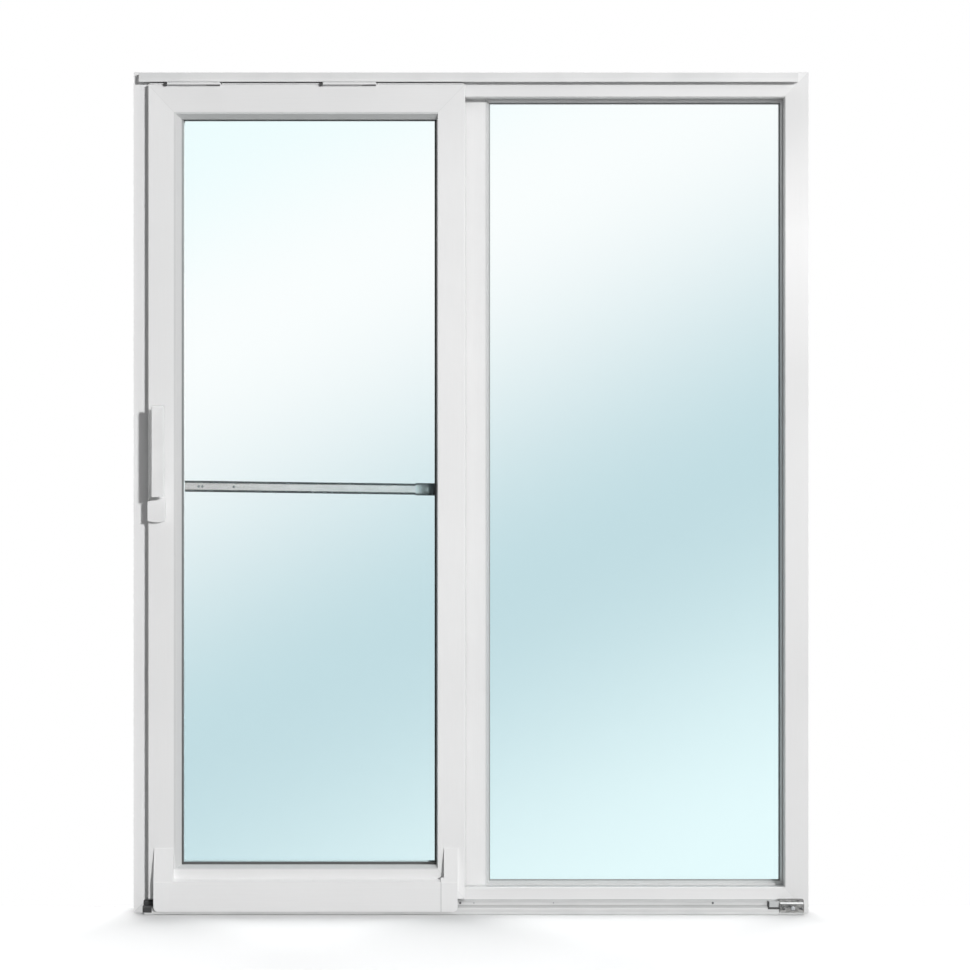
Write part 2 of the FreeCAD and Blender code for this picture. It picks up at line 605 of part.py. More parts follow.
# Stay arms: a strip along the sash's upper front edge, with a tab that turns over the edge and a pin
# that runs in the guide rail.
ARM_SLOT = "(sash_proud + %s)" % GUIDE_MIDDLE
for name, start in (("left", "arm_left_at"), ("right", "arm_right_at")):
    label = "stay_arm_" + name
    arm = new_body(label, SASH_FRONT)
    tie(arm, "Placement.Base.x", "%s + %s" % (SASH["left"], start))
    tie(arm, "Placement.Base.z", SASH["top"])
    pad(arm, outline(arm, label + "_strip", "XZ_Plane", [
        ("arm_corner", "-arm_height"), ("arm_length - arm_corner", "-arm_height"),
        ("arm_length", "-arm_height + arm_corner"), ("arm_length", "arm_tab_thick"),
        ("arm_length - arm_tab", "arm_tab_thick"), ("arm_length - arm_tab", "0"),
        ("0", "0"), ("0", "-arm_height + arm_corner")]), "arm_thick")
    spot = ("arm_length - arm_tab/2", ARM_SLOT)
    tab_back = "%s + arm_pin_radius + arm_tab_back" % ARM_SLOT
    pad(arm, outline(arm, label + "_tab", "XY_Plane", [
        ("arm_length - arm_tab", "-arm_thick"), ("arm_length", "-arm_thick"),
        ("arm_length", tab_back), ("arm_length - arm_tab", tab_back)]), "arm_tab_thick")
    shoe_low = "((%s) + guide_wall + arm_shoe_lift - (%s))" % (GUIDE_LOW, SASH["top"])
    pad(arm, disc(arm, label + "_pin", "XY_Plane", spot, "arm_pin_radius"), shoe_low)
    shoe = disc(arm, label + "_shoe", "XY_Plane", spot, "arm_shoe_radius")
    tie(shoe, "AttachmentOffset.Base.z", shoe_low)
    pad(arm, shoe, "arm_shoe_height")

# Running rail on the sill's front: a foot with a round ridge for the rollers and a wall behind.
track = new_body("running_rail", FRONT)
tie(track, "Placement.Base.x", "-frame_width/2 + track_left")
TRACK_LENGTH = "(frame_width - track_left - track_right)"
pad(track, outline(track, "running_rail_section", "YZ_Plane", [
    ("-track_depth", "track_base"), ("0", "track_base"), ("0", "track_wall_height"),
    ("-track_wall_depth + track_wall_bevel", "track_wall_height"),
    ("-track_wall_depth", "track_wall_height - track_wall_bevel"),
    ("-track_wall_depth", "track_foot_height"),
    ("-track_depth + track_wall_bevel", "track_foot_height"),
    ("-track_depth", "track_foot_height - track_wall_bevel")]), TRACK_LENGTH)
pad(track, disc(track, "running_rail_ridge", "YZ_Plane",
                ("-track_ridge_at", "track_foot_height"), "track_ridge_radius"), TRACK_LENGTH)

# Stepped stop block at the right end of the running rail, with a buffer that saddles the ridge.
STOP_LEFT = "(frame_width/2 - track_right)"
stop = new_body("rail_end_stop", FRONT)
tie(stop, "Placement.Base.x", STOP_LEFT)
pad(stop, outline(stop, "rail_end_stop_section", "YZ_Plane", [
    ("-stop_depth", "track_base"), ("0", "track_base"), ("0", "stop_height"),
    ("-stop_depth + stop_ledge_depth", "stop_height"), ("-stop_depth + stop_ledge_depth", "stop_ledge"),
    ("-stop_depth + stop_bevel", "stop_ledge"), ("-stop_depth", "stop_ledge - stop_bevel")]),
    "stop_length")
buffer_pad = new_body("rail_stop_buffer", FRONT)
tie(buffer_pad, "Placement.Base.x", "%s - buffer_length" % STOP_LEFT)
SADDLE = "(track_ridge_radius + roller_seat_gap)"
BUFFER_BACK = "-track_wall_depth"
pad(buffer_pad, outline(buffer_pad, "rail_stop_buffer_section", "YZ_Plane", [
    ("%s - buffer_depth" % BUFFER_BACK, "track_foot_height"),
    ("-track_ridge_at - %s" % SADDLE, "track_foot_height"),
    ("-track_ridge_at - %s" % SADDLE, "track_foot_height + %s" % SADDLE),
    ("-track_ridge_at + %s" % SADDLE, "track_foot_height + %s" % SADDLE),
    ("-track_ridge_at + %s" % SADDLE, "track_foot_height"),
    (BUFFER_BACK, "track_foot_height"),
    (BUFFER_BACK, "track_foot_height + buffer_height"),
    ("%s - buffer_depth" % BUFFER_BACK, "track_foot_height + buffer_height")]), "buffer_length")

# Bottom cover between its two end caps, a bent sheet whose sloping top meets the sash face.
CAP_LEFT = "(%s + cap_left_inset)" % SASH["left"]
CAP_RIGHT = "(%s - cap_right_inset - cap_right_width)" % SASH["right"]
COVER_LEFT = "(%s + cap_left_width)" % CAP_LEFT
COVER_FRONT = "(-cover_depth)"
COVER_SLOPE = "((cover_top - cover_face_top) / cover_depth)"
cover = new_body("bottom_cover", SASH_FRONT)
tie(cover, "Placement.Base.x", COVER_LEFT)
pad(cover, outline(cover, "bottom_cover_section", "YZ_Plane", [
    (COVER_FRONT, "cover_bottom"), (COVER_FRONT + " + cover_sheet", "cover_bottom"),
    (COVER_FRONT + " + cover_sheet", "cover_face_top - cover_sheet + cover_sheet * %s" % COVER_SLOPE),
    ("0", "cover_top - cover_sheet"), ("0", "cover_top"), (COVER_FRONT, "cover_face_top")]),
    "(%s) - (%s)" % (CAP_RIGHT, COVER_LEFT))

# End caps: wedges that grow from the sash face down to a skirt in front of the running rail.
for name, place, wide in (("left", CAP_LEFT, "cap_left_width"), ("right", CAP_RIGHT, "cap_right_width")):
    label = "cover_cap_" + name
    cap = new_body(label, SASH_FRONT)
    tie(cap, "Placement.Base.x", place)
    pad(cap, outline(cap, label + "_section", "YZ_Plane", [
        ("-cap_depth", "cover_bottom"), ("-cap_depth + cap_skirt", "cover_bottom"),
        ("-cap_depth + cap_skirt", SASH["bottom"]), ("0", SASH["bottom"]),
        ("0", "cap_height"), ("-cap_nose", "cap_height"),
        ("-cap_depth", "cap_slope_end")]), wide)
    outer = "0" if name == "left" else wide
    soften(cap, "cap_round", lambda edge, outer=outer: (
        abs(edge.CenterOfMass.x - amount(outer)) < 1e-6
        and abs(edge.CenterOfMass.z - amount("cover_bottom")) < 1e-6
        and edge.Length < amount("cap_skirt") + 1e-6))
    if name == "right":
        trim(cap, outline(cap, label + "_notch", "XZ_Plane", [
            ("-cut_margin", "cover_top + cap_notch_gap"), ("cap_notch", "cover_top + cap_notch_gap"),
            ("cap_notch", "cap_height + cut_margin"), ("-cut_margin", "cap_height + cut_margin")]))

# Carriages: yokes fixed to the sash's face and lower edge, each with a grooved roller on its axle.
AXLE = "(track_foot_height + track_ridge_radius + roller_seat_gap + roller_groove_radius)"
YOKE_IN = "(roller_width/2 + cheek_gap)"
YOKE_FRONT = "(-track_ridge_at - %s)" % YOKE_IN
YOKE_BACK = "(-track_ridge_at + %s)" % YOKE_IN
BRIDGE = "(%s + roller_groove_radius + roller_rim + roller_seat_gap)" % AXLE
for name, start in (("left", "%s + carriage_inset" % COVER_LEFT),
                    ("right", "%s - carriage_inset - carriage_length" % CAP_RIGHT)):
    label = "carriage_" + name
    yoke = new_body(label, FRONT)
    tie(yoke, "Placement.Base.x", start)
    pad(yoke, outline(yoke, label + "_section", "YZ_Plane", [
        ("-carriage_front", "cheek_bottom"), ("-carriage_front", "carriage_top"),
        ("-sash_proud", "carriage_top"), ("-sash_proud", SASH["bottom"]),
        (YOKE_BACK + " + cheek_thick", SASH["bottom"]), (YOKE_BACK + " + cheek_thick", "cheek_bottom"),
        (YOKE_BACK, "cheek_bottom"), (YOKE_BACK, BRIDGE),
        (YOKE_FRONT, BRIDGE), (YOKE_FRONT, "cheek_bottom")]), "carriage_length")
    axle = disc(yoke, label + "_axle", "XZ_Plane", ("carriage_length/2", AXLE), "axle_radius")
    tie(axle, "AttachmentOffset.Base.z", "-(%s) - cheek_thick" % YOKE_BACK)
    pad(yoke, axle, "carriage_front + %s + cheek_thick" % YOKE_BACK)
    roller = new_body("roller_" + name, "%s - track_ridge_at" % FRONT)
    tie(roller, "Placement.Base.x", "%s + carriage_length/2" % start)
    tie(roller, "Placement.Base.z", AXLE)
    wheel = outline(roller, "roller_%s_section" % name, "XY_Plane", [
        ("axle_radius + roller_bore_gap", "-roller_width/2"),
        ("roller_groove_radius + roller_rim", "-roller_width/2"),
        ("roller_groove_radius + roller_rim", "-track_ridge_radius - roller_side_gap"),
        ("roller_groove_radius", "-track_ridge_radius"),
        ("roller_groove_radius", "track_ridge_radius"),
        ("roller_groove_radius + roller_rim", "track_ridge_radius + roller_side_gap"),
        ("roller_groove_radius + roller_rim", "roller_width/2"),
        ("axle_radius + roller_bore_gap", "roller_width/2")])
    turn = roller.newObject("PartDesign::Revolution", "roller_%s_turn" % name)
    turn.Profile = wheel
    turn.ReferenceAxis = (wheel, ["V_Axis"])
    turn.Angle = 360.0
    wheel.Visibility = False
    roller.Tip = turn

# Handle: a round rosette on the left stile, and a lever whose foot turns on it, with a cranked
# neck and an upright grip.
HANDLE_X = "(%s + handle_inset)" % SASH["left"]
rosette = new_body("handle_base", "%s - rosette_thick" % SASH_FRONT)
tie(rosette, "Placement.Base.x", HANDLE_X)
tie(rosette, "Placement.Base.z", "handle_height")
pad(rosette, disc(rosette, "handle_base_disc", "XZ_Plane", ("0", "0"), "rosette_radius"),
    "rosette_thick", backwards=True)
trim(rosette, disc(rosette, "handle_base_bore", "XZ_Plane", ("0", "0"), "spindle_radius + handle_gap"))

lever = new_body("handle_lever", SASH_FRONT)
tie(lever, "Placement.Base.x", HANDLE_X)
tie(lever, "Placement.Base.z", "handle_height")
FOOT_BACK = "(-rosette_thick - handle_gap)"
FOOT_FRONT = "(%s - block_thick)" % FOOT_BACK
foot = outline(lever, "handle_lever_foot", "XZ_Plane", [
    ("-block_width/2", "-block_height/2 + block_sag"), ("block_width/2", "-block_height/2 + block_sag"),
    ("block_width/2", "block_height/2 + block_rise/2"),
    ("-block_width/2", "block_height/2 - block_rise/2")],
    bows={0: ("block_sag", "block_width")})
tie(foot, "AttachmentOffset.Base.z", "-(%s)" % FOOT_BACK)
pad(lever, foot, "block_thick")
soften(lever, "block_round", lambda edge: (
    edge.BoundBox.YMax < amount(FOOT_FRONT) + 1e-6
    and isinstance(edge.Curve, Part.Line)))
GRIP_BACK = "(-grip_reach + grip_thick)"
NECK_LOW = "(grip_bottom + neck_lift)"
NECK_TOP = "(%s + neck_height)" % NECK_LOW
TANG = "(block_height/2 - neck_tang)"
neck = outline(lever, "handle_lever_neck", "YZ_Plane", [
    (FOOT_BACK, TANG),
    (FOOT_BACK, "%s - neck_slant" % NECK_TOP),
    ("%s - neck_slant" % FOOT_BACK, NECK_TOP),
    ("%s - neck_root" % GRIP_BACK, NECK_TOP),
    ("%s - neck_root" % GRIP_BACK, NECK_LOW),
    ("%s + block_round" % FOOT_FRONT, NECK_LOW),
    ("%s + block_round" % FOOT_FRONT, TANG)])
tie(neck, "AttachmentOffset.Base.z", "grip_offset")
pad(lever, neck, "neck_width", symmetric=True)
grip = outline(lever, "handle_lever_grip", "YZ_Plane", [
    (GRIP_BACK, "grip_bottom"),
    (GRIP_BACK, "grip_top - grip_crown"),
    ("-grip_reach", "grip_top - grip_crown"),
    ("-grip_reach", "grip_bottom")],
    bows={1: ("grip_crown", "grip_thick")})
tie(grip, "AttachmentOffset.Base.z", "grip_offset")
pad(lever, grip, "grip_width", symmetric=True)
soften(lever, "grip_round", lambda edge: (
    abs(edge.BoundBox.ZLength - edge.Length) < 1e-6
    and edge.Length > amount("grip_top - grip_crown - grip_bottom") - 1e-6))
spindle = disc(lever, "handle_lever_spindle", "XZ_Plane", ("0", "0"), "spindle_radius")
tie(spindle, "AttachmentOffset.Base.z", "handle_gap")
pad(lever, spindle, "-(%s) - handle_gap" % FOOT_BACK)

doc.recompute()

# Every object and every finished piece is looked at before anything is written.
for thing in doc.Objects:
    if "Invalid" in thing.State or "Error" in thing.State:
        raise RuntimeError("%s is %s" % (thing.Name, thing.State))
for feature in cuts:
    if feature.Shape.Volume >= feature.BaseFeature.Shape.Volume - 1e-6:
        raise RuntimeError("%s cuts nothing" % feature.Name)
for piece in parts:
    if piece.Shape.isNull() or not piece.Shape.isValid() or not piece.Shape.Solids:
        raise RuntimeError("%s is not a sound solid" % piece.Label)
    if len(piece.Shape.Solids) != 1:
        raise RuntimeError("%s is in %d pieces" % (piece.Label, len(piece.Shape.Solids)))

os.makedirs("parts", exist_ok=True)
for piece in parts:
    piece.Shape.exportStep("parts/%s.step" % piece.Label)
    print("%-24s %10.1f cm3" % (piece.Label, piece.Shape.Volume / 1000.0))
print(len(parts), "pieces")
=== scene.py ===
# %% [markdown]
# # A glazed sliding patio door, dressed in Blender
#
# The solids of the door arrive already built: a welded white frame, a fixed light on the right and
# a sliding sash on the left. This lesson leaves those solids where they are and gives them a camera,
# light, finishes and the small parts that are too fine for the solid model.

# %% Load the solids
import bmesh
import bpy
import math
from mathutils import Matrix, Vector


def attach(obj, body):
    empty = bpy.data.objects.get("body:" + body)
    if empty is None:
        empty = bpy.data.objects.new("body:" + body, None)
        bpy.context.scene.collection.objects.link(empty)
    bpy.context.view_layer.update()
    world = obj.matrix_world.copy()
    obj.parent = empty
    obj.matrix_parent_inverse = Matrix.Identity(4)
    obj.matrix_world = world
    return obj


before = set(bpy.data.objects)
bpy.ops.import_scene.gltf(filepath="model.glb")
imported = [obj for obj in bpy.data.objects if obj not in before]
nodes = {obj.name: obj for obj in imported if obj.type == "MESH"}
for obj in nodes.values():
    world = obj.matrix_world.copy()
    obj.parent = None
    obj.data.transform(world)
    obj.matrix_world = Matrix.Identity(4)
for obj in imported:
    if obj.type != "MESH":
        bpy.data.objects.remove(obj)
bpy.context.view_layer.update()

# %% [markdown]
# ## The camera
#
# The door is seen straight on, from about chest height and from far away, so its uprights stay
# parallel. A long lens on a level camera gives that. Turning the camera upwards would make the
# jambs lean, and moving it nearer would show more of the reveals than we want.

# %% Place the camera
SENSOR_WIDTH = 36.0
LENS = 122.96
CAMERA_PLACE = (0.0337, -8.05, 1.0328)

camera_data = bpy.data.cameras.new("front_camera")
camera_data.sensor_width = SENSOR_WIDTH
camera_data.lens = LENS
camera_data.clip_end = 200.0
camera = bpy.data.objects.new("front_camera", camera_data)
camera.location = CAMERA_PLACE
camera.rotation_euler = (math.radians(90.0), 0.0, 0.0)
bpy.context.scene.collection.objects.link(camera)
bpy.context.scene.camera = camera
bpy.context.scene.view_settings.view_transform = "Standard"
print("camera stands", -camera.location.y, "m in front of the door")

# %% [markdown]
# ## Floor and surroundings
#
# A studio sweep is a pale floor that runs into a white background. The floor is a plain diffuse
# surface, so it keeps the soft shade where the door stands. Light Path tells the rays that reach the
# camera from those that only bounce: the first see white paper, the others a greyer one, so the
# floor doesn't throw too much light up at the door.

# %% Small helpers for node trees
def add(tree, kind, place, **settings):
    """New node of a kind, with its place in the editor and its settings."""
    node = tree.nodes.new(kind)
    node.location = place
    for name, value in settings.items():
        setattr(node, name, value)
    return node


def join(tree, start, end):
    tree.links.new(end, start)


def spread(tree, value, low, high, place, source=(0.3, 0.7)):
    """Stretch a value from its source range to the range from low to high."""
    ranged = add(tree, "ShaderNodeMapRange", place)
    join(tree, value, ranged.inputs["Value"])
    ranged.inputs["From Min"].default_value = source[0]
    ranged.inputs["From Max"].default_value = source[1]
    ranged.inputs["To Min"].default_value = low
    ranged.inputs["To Max"].default_value = high
    return ranged.outputs["Result"]


# %% Tell seen rays from bounced ones
def seen_rays(tree, place):
    """One for rays that show a surface to the camera, also by mirror or through glass, else zero."""
    path = add(tree, "ShaderNodeLightPath", place)
    first = add(tree, "ShaderNodeMath", (place[0] + 180, place[1]), operation="MAXIMUM")
    second = add(tree, "ShaderNodeMath", (place[0] + 360, place[1]), operation="MAXIMUM")
    direct = add(tree, "ShaderNodeMath", (place[0] + 360, place[1] - 180), operation="LESS_THAN")
    direct.inputs[1].default_value = 0.5
    seen = add(tree, "ShaderNodeMath", (place[0] + 540, place[1]), operation="MULTIPLY")
    join(tree, path.outputs["Is Camera Ray"], first.inputs[0])
    join(tree, path.outputs["Is Glossy Ray"], first.inputs[1])
    join(tree, first.outputs[0], second.inputs[0])
    join(tree, path.outputs["Is Transmission Ray"], second.inputs[1])
    join(tree, path.outputs["Diffuse Depth"], direct.inputs[0])
    join(tree, second.outputs[0], seen.inputs[0])
    join(tree, direct.outputs[0], seen.inputs[1])
    return seen.outputs[0]


# %% Make the floor
FLOOR_HALF_WIDTH = 12.0
FLOOR_HALF_DEPTH = 6.15
FLOOR_BACK_EDGE = 0.06

floor_mesh = bpy.data.meshes.new("studio_floor")
sweep = bmesh.new()
bmesh.ops.create_grid(sweep, x_segments=1, y_segments=1, size=1.0)
bmesh.ops.scale(sweep, vec=(FLOOR_HALF_WIDTH, FLOOR_HALF_DEPTH, 1.0), verts=sweep.verts)
bmesh.ops.translate(sweep, vec=(0.0, FLOOR_BACK_EDGE - FLOOR_HALF_DEPTH, 0.0), verts=sweep.verts)
sweep.to_mesh(floor_mesh)
sweep.free()
floor = bpy.data.objects.new("studio_floor", floor_mesh)
bpy.context.scene.collection.objects.link(floor)
print("floor is", floor.dimensions.x, "m across")

# %% Paper the floor
PAPER_SEEN = 0.76
PAPER_BOUNCED = 0.19

paper = bpy.data.materials.new("studio_paper")
paper.use_nodes = True
tree = paper.node_tree
tree.nodes.clear()
shade = add(tree, "ShaderNodeMix", (-220, 100), data_type="RGBA")
shade.inputs["A"].default_value = (PAPER_BOUNCED, PAPER_BOUNCED, PAPER_BOUNCED, 1.0)
shade.inputs["B"].default_value = (PAPER_SEEN, PAPER_SEEN, PAPER_SEEN, 1.0)
join(tree, seen_rays(tree, (-900, -200)), shade.inputs["Factor"])
sheet = add(tree, "ShaderNodeBsdfDiffuse", (0, 0))
join(tree, shade.outputs["Result"], sheet.inputs["Color"])
join(tree, sheet.outputs[0], add(tree, "ShaderNodeOutputMaterial", (220, 0)).inputs["Surface"])
floor_mesh.materials.append(paper)
print("paper is", PAPER_SEEN, "where it is seen and", PAPER_BOUNCED, "for light that bounces")

# %% Make the world
GLOW_IN_FRONT = 0.10
GLOW_BEHIND = 0.50
TURNING_RANGE = (-0.3, 0.3)
COOL_WHITE = (0.97, 0.985, 1.0, 1.0)

world = bpy.data.worlds.new("studio_world")
bpy.context.scene.world = world
world.use_nodes = True
tree = world.node_tree
tree.nodes.clear()
toward = add(tree, "ShaderNodeTexCoord", (-900, 300))
parts = add(tree, "ShaderNodeSeparateXYZ", (-700, 300))
join(tree, toward.outputs["Generated"], parts.inputs[0])
level = spread(tree, parts.outputs["Y"], GLOW_IN_FRONT, GLOW_BEHIND, (-500, 300), TURNING_RANGE)
room = add(tree, "ShaderNodeBackground", (0, 0))
room.inputs["Color"].default_value = COOL_WHITE
join(tree, level, room.inputs["Strength"])
white = add(tree, "ShaderNodeBackground", (0, -160))
white.inputs["Color"].default_value = (1.0, 1.0, 1.0, 1.0)
white.inputs["Strength"].default_value = 1.0
choose = add(tree, "ShaderNodeMixShader", (220, 0))
join(tree, seen_rays(tree, (-900, 0)), choose.inputs[0])
join(tree, room.outputs[0], choose.inputs[1])
join(tree, white.outputs[0], choose.inputs[2])
join(tree, choose.outputs[0], add(tree, "ShaderNodeOutputWorld", (420, 0)).inputs["Surface"])
print("world lights the back of the door more than its front")

# %% [markdown]
# ## Light
#
# The sash, the handle and the beads throw narrow, fairly crisp shadows to the left and a little
# down. A sun lamp with a small disc gives those. A large soft box high on the right makes the right
# jamb lighter than the left one, and a weak light from above keeps the ledges from going grey. The
# floor has one lamp of its own, a very broad sun low behind the door: the sill and the bottom rail
# hide it from the floor just in front of them, which draws the soft shade that the door stands in.
# Light linking keeps that lamp off the door itself.

# %% Place the lamps
def lamp(name, kind, energy, source, place=(0.0, 0.0, 3.0), **settings):
    """Lamp whose light comes from the side that source points to."""
    data = bpy.data.lights.new(name, kind)
    data.energy = energy
    for label, value in settings.items():
        setattr(data, label, value)
    placed = bpy.data.objects.new(name, data)
    placed.location = place
    placed.rotation_euler = Vector(source).to_track_quat("Z", "Y").to_euler()
    bpy.context.scene.collection.objects.link(placed)
    return placed


key_sun = lamp("key_sun", "SUN", 2.2, (0.48, -1.0, 0.19), angle=math.radians(4.0))
soft_box = lamp(
    "soft_box", "AREA", 34.0, (2.6, -2.4, 1.7), (3.0, -2.4, 2.9),
    shape="RECTANGLE", size=1.6, size_y=2.4,
)
top_light = lamp("top_light", "SUN", 0.95, (0.0, -0.05, 1.0), angle=math.radians(20.0))
print("lamps: key", key_sun.data.energy, "soft box", soft_box.data.energy, "top", top_light.data.energy)

# %% Light the floor by itself
only_floor = bpy.data.collections.new("only_floor")
only_floor.objects.link(floor)
back_sun = lamp("back_sun", "SUN", 4.0, (0.0, 1.0, 0.8), angle=math.radians(48.0))
back_sun.light_linking.receiver_collection = only_floor
print("floor lit from behind by a disc", round(math.degrees(back_sun.data.angle)), "degrees wide")

# %% [markdown]
# ## Shared surface effects
#
# Several finishes need the same kinds of unevenness. A profile drawn through a die carries faint
# lines along its length and slow clouds of tone. Moulded parts have a fine pebbled skin, and drawn
# or rolled metal has streaks. Each effect is a node group, made once and used with its own values.

# %% Group builder
VECTOR = "NodeSocketVector"
FLOAT = "NodeSocketFloat"


def make_group(name, inputs, outputs):
    """Empty shader group with its sockets, and the nodes where it starts and ends."""
    group = bpy.data.node_groups.new(name, "ShaderNodeTree")
    for label, kind, value in inputs:
        socket = group.interface.new_socket(label, in_out="INPUT", socket_type=kind)
        socket.default_value = value
    for label, kind in outputs:
        group.interface.new_socket(label, in_out="OUTPUT", socket_type=kind)
    start = add(group, "NodeGroupInput", (-900, 0))
    end = add(group, "NodeGroupOutput", (700, 0))
    return group, start, end


# %% Die lines of an extruded profile
drawn_skin, start, end = make_group(
    "drawn_skin",
    [
        ("Vector", VECTOR, (0.0, 0.0, 0.0)),
        ("Along", VECTOR, (1.0, 1.0, 0.02)),
        ("Lines", FLOAT, 420.0),
        ("Clouds", FLOAT, 2.6),
    ],
    [("Tone", FLOAT), ("Shine", FLOAT), ("Height", FLOAT)],
)
stretch = add(drawn_skin, "ShaderNodeVectorMath", (-700, 160), operation="MULTIPLY")
join(drawn_skin, start.outputs["Vector"], stretch.inputs[0])
join(drawn_skin, start.outputs["Along"], stretch.inputs[1])
lines = add(drawn_skin, "ShaderNodeTexNoise", (-500, 200))
lines.inputs["Detail"].default_value = 2.0
join(drawn_skin, stretch.outputs[0], lines.inputs["Vector"])
join(drawn_skin, start.outputs["Lines"], lines.inputs["Scale"])
clouds = add(drawn_skin, "ShaderNodeTexNoise", (-500, -60))
clouds.inputs["Detail"].default_value = 3.0
join(drawn_skin, start.outputs["Vector"], clouds.inputs["Vector"])
join(drawn_skin, start.outputs["Clouds"], clouds.inputs["Scale"])
peel = add(drawn_skin, "ShaderNodeTexNoise", (-500, -320))
peel.inputs["Scale"].default_value = 260.0
peel.inputs["Detail"].default_value = 1.0
join(drawn_skin, start.outputs["Vector"], peel.inputs["Vector"])
line_part = spread(drawn_skin, lines.outputs["Fac"], 0.0, 0.3, (-260, 200))
cloud_part = spread(drawn_skin, clouds.outputs["Fac"], 0.0, 0.7, (-260, -60))
tone = add(drawn_skin, "ShaderNodeMath", (0, 100), operation="ADD")
join(drawn_skin, line_part, tone.inputs[0])
join(drawn_skin, cloud_part, tone.inputs[1])
join(drawn_skin, tone.outputs[0], end.inputs["Tone"])
join(drawn_skin, cloud_part, end.inputs["Shine"])
relief = add(drawn_skin, "ShaderNodeMath", (0, -200), operation="MULTIPLY_ADD")
relief.inputs[1].default_value = 0.5
join(drawn_skin, peel.outputs["Fac"], relief.inputs[0])
join(drawn_skin, line_part, relief.inputs[2])
join(drawn_skin, relief.outputs[0], end.inputs["Height"])
print("group ready:", drawn_skin.name)

# %% Pebbled skin of a moulded part
moulded_skin, start, end = make_group(
    "moulded_skin",
    [("Vector", VECTOR, (0.0, 0.0, 0.0)), ("Grain", FLOAT, 700.0)],
    [("Tone", FLOAT), ("Height", FLOAT)],
)
pebbles = add(moulded_skin, "ShaderNodeTexVoronoi", (-500, 120), feature="SMOOTH_F1")
join(moulded_skin, start.outputs["Vector"], pebbles.inputs["Vector"])
join(moulded_skin, start.outputs["Grain"], pebbles.inputs["Scale"])
drift = add(moulded_skin, "ShaderNodeTexNoise", (-500, -160))
drift.inputs["Scale"].default_value = 14.0
drift.inputs["Detail"].default_value = 3.0
join(moulded_skin, start.outputs["Vector"], drift.inputs["Vector"])
join(moulded_skin, pebbles.outputs["Distance"], end.inputs["Height"])
drift_part = spread(moulded_skin, drift.outputs["Fac"], 0.0, 1.0, (-200, -160))
join(moulded_skin, drift_part, end.inputs["Tone"])
print("group ready:", moulded_skin.name)

# %% Streaks of drawn or rolled metal
metal_streaks, start, end = make_group(
    "metal_streaks",
    [
        ("Vector", VECTOR, (0.0, 0.0, 0.0)),
        ("Along", VECTOR, (0.02, 1.0, 1.0)),
        ("Fineness", FLOAT, 900.0),
    ],
    [("Tone", FLOAT), ("Shine", FLOAT), ("Height", FLOAT)],
)
stretch = add(metal_streaks, "ShaderNodeVectorMath", (-700, 100), operation="MULTIPLY")
join(metal_streaks, start.outputs["Vector"], stretch.inputs[0])
join(metal_streaks, start.outputs["Along"], stretch.inputs[1])
streak = add(metal_streaks, "ShaderNodeTexNoise", (-500, 160))
streak.inputs["Detail"].default_value = 4.0
join(metal_streaks, stretch.outputs[0], streak.inputs["Vector"])
join(metal_streaks, start.outputs["Fineness"], streak.inputs["Scale"])
stain = add(metal_streaks, "ShaderNodeTexNoise", (-500, -120))
stain.inputs["Scale"].default_value = 40.0
stain.inputs["Detail"].default_value = 5.0
join(metal_streaks, start.outputs["Vector"], stain.inputs["Vector"])
streak_part = spread(metal_streaks, streak.outputs["Fac"], 0.0, 1.0, (-200, 160))
stain_part = spread(metal_streaks, stain.outputs["Fac"], 0.0, 1.0, (-200, -120))
join(metal_streaks, streak_part, end.inputs["Tone"])
join(metal_streaks, stain_part, end.inputs["Shine"])
join(metal_streaks, streak.outputs["Fac"], end.inputs["Height"])
print("group ready:", metal_streaks.name)

# %% [markdown]
# ## Building a finish
#
# Every opaque finish here follows one recipe: a group gives a tone that mixes two close colours, a
# value that moves the roughness, and a height for a shallow bump. Keeping the two colours close is
# what makes a surface look real and not painted with a pattern.

# %% Finish helper
def rgb(red, green, blue):
    """Screen colour from 0 to 255 as the linear values that a shader takes."""
    def linear(part):
        part = part / 255.0
        return part / 12.92 if part <= 0.04045 else ((part + 0.055) / 1.055) ** 2.4

    return (linear(red), linear(green), linear(blue), 1.0)


def finish(name, group, settings, dark, light, rough, bump, **constants):
    """Opaque material between two colours and two roughnesses. A bump is a strength and a depth."""
    material = bpy.data.materials.new(name)
    material.use_nodes = True
    tree = material.node_tree
    shader = tree.nodes["Principled BSDF"]
    for label, value in constants.items():
        shader.inputs[label.replace("_", " ")].default_value = value
    where = add(tree, "ShaderNodeTexCoord", (-1100, 0))
    skin = add(tree, "ShaderNodeGroup", (-880, 0), node_tree=group)
    join(tree, where.outputs["Object"], skin.inputs["Vector"])
    for label, value in settings.items():
        skin.inputs[label].default_value = value
    colours = add(tree, "ShaderNodeMix", (-560, 120), data_type="RGBA")
    colours.inputs["A"].default_value = dark
    colours.inputs["B"].default_value = light
    join(tree, skin.outputs["Tone"], colours.inputs["Factor"])
    join(tree, colours.outputs["Result"], shader.inputs["Base Color"])
    shine = skin.outputs["Shine"] if "Shine" in skin.outputs else skin.outputs["Tone"]
    dulled = spread(tree, shine, rough[0], rough[1], (-560, -120), (0.0, 1.0))
    join(tree, dulled, shader.inputs["Roughness"])
    relief = add(tree, "ShaderNodeBump", (-300, -240))
    relief.inputs["Strength"].default_value = bump[0]
    relief.inputs["Distance"].default_value = bump[1]
    join(tree, skin.outputs["Height"], relief.inputs["Height"])
    join(tree, relief.outputs["Normal"], shader.inputs["Normal"])
    return material


# %% Ramps and bands of tone
def fill_ramp(ramp, stops):
    """Give a colour ramp its (place, colour) stops."""
    elements = ramp.color_ramp.elements
    while len(elements) < len(stops):
        elements.new(0.5)
    for element, (place, colour) in zip(elements, stops):
        element.position = place
        element.color = colour


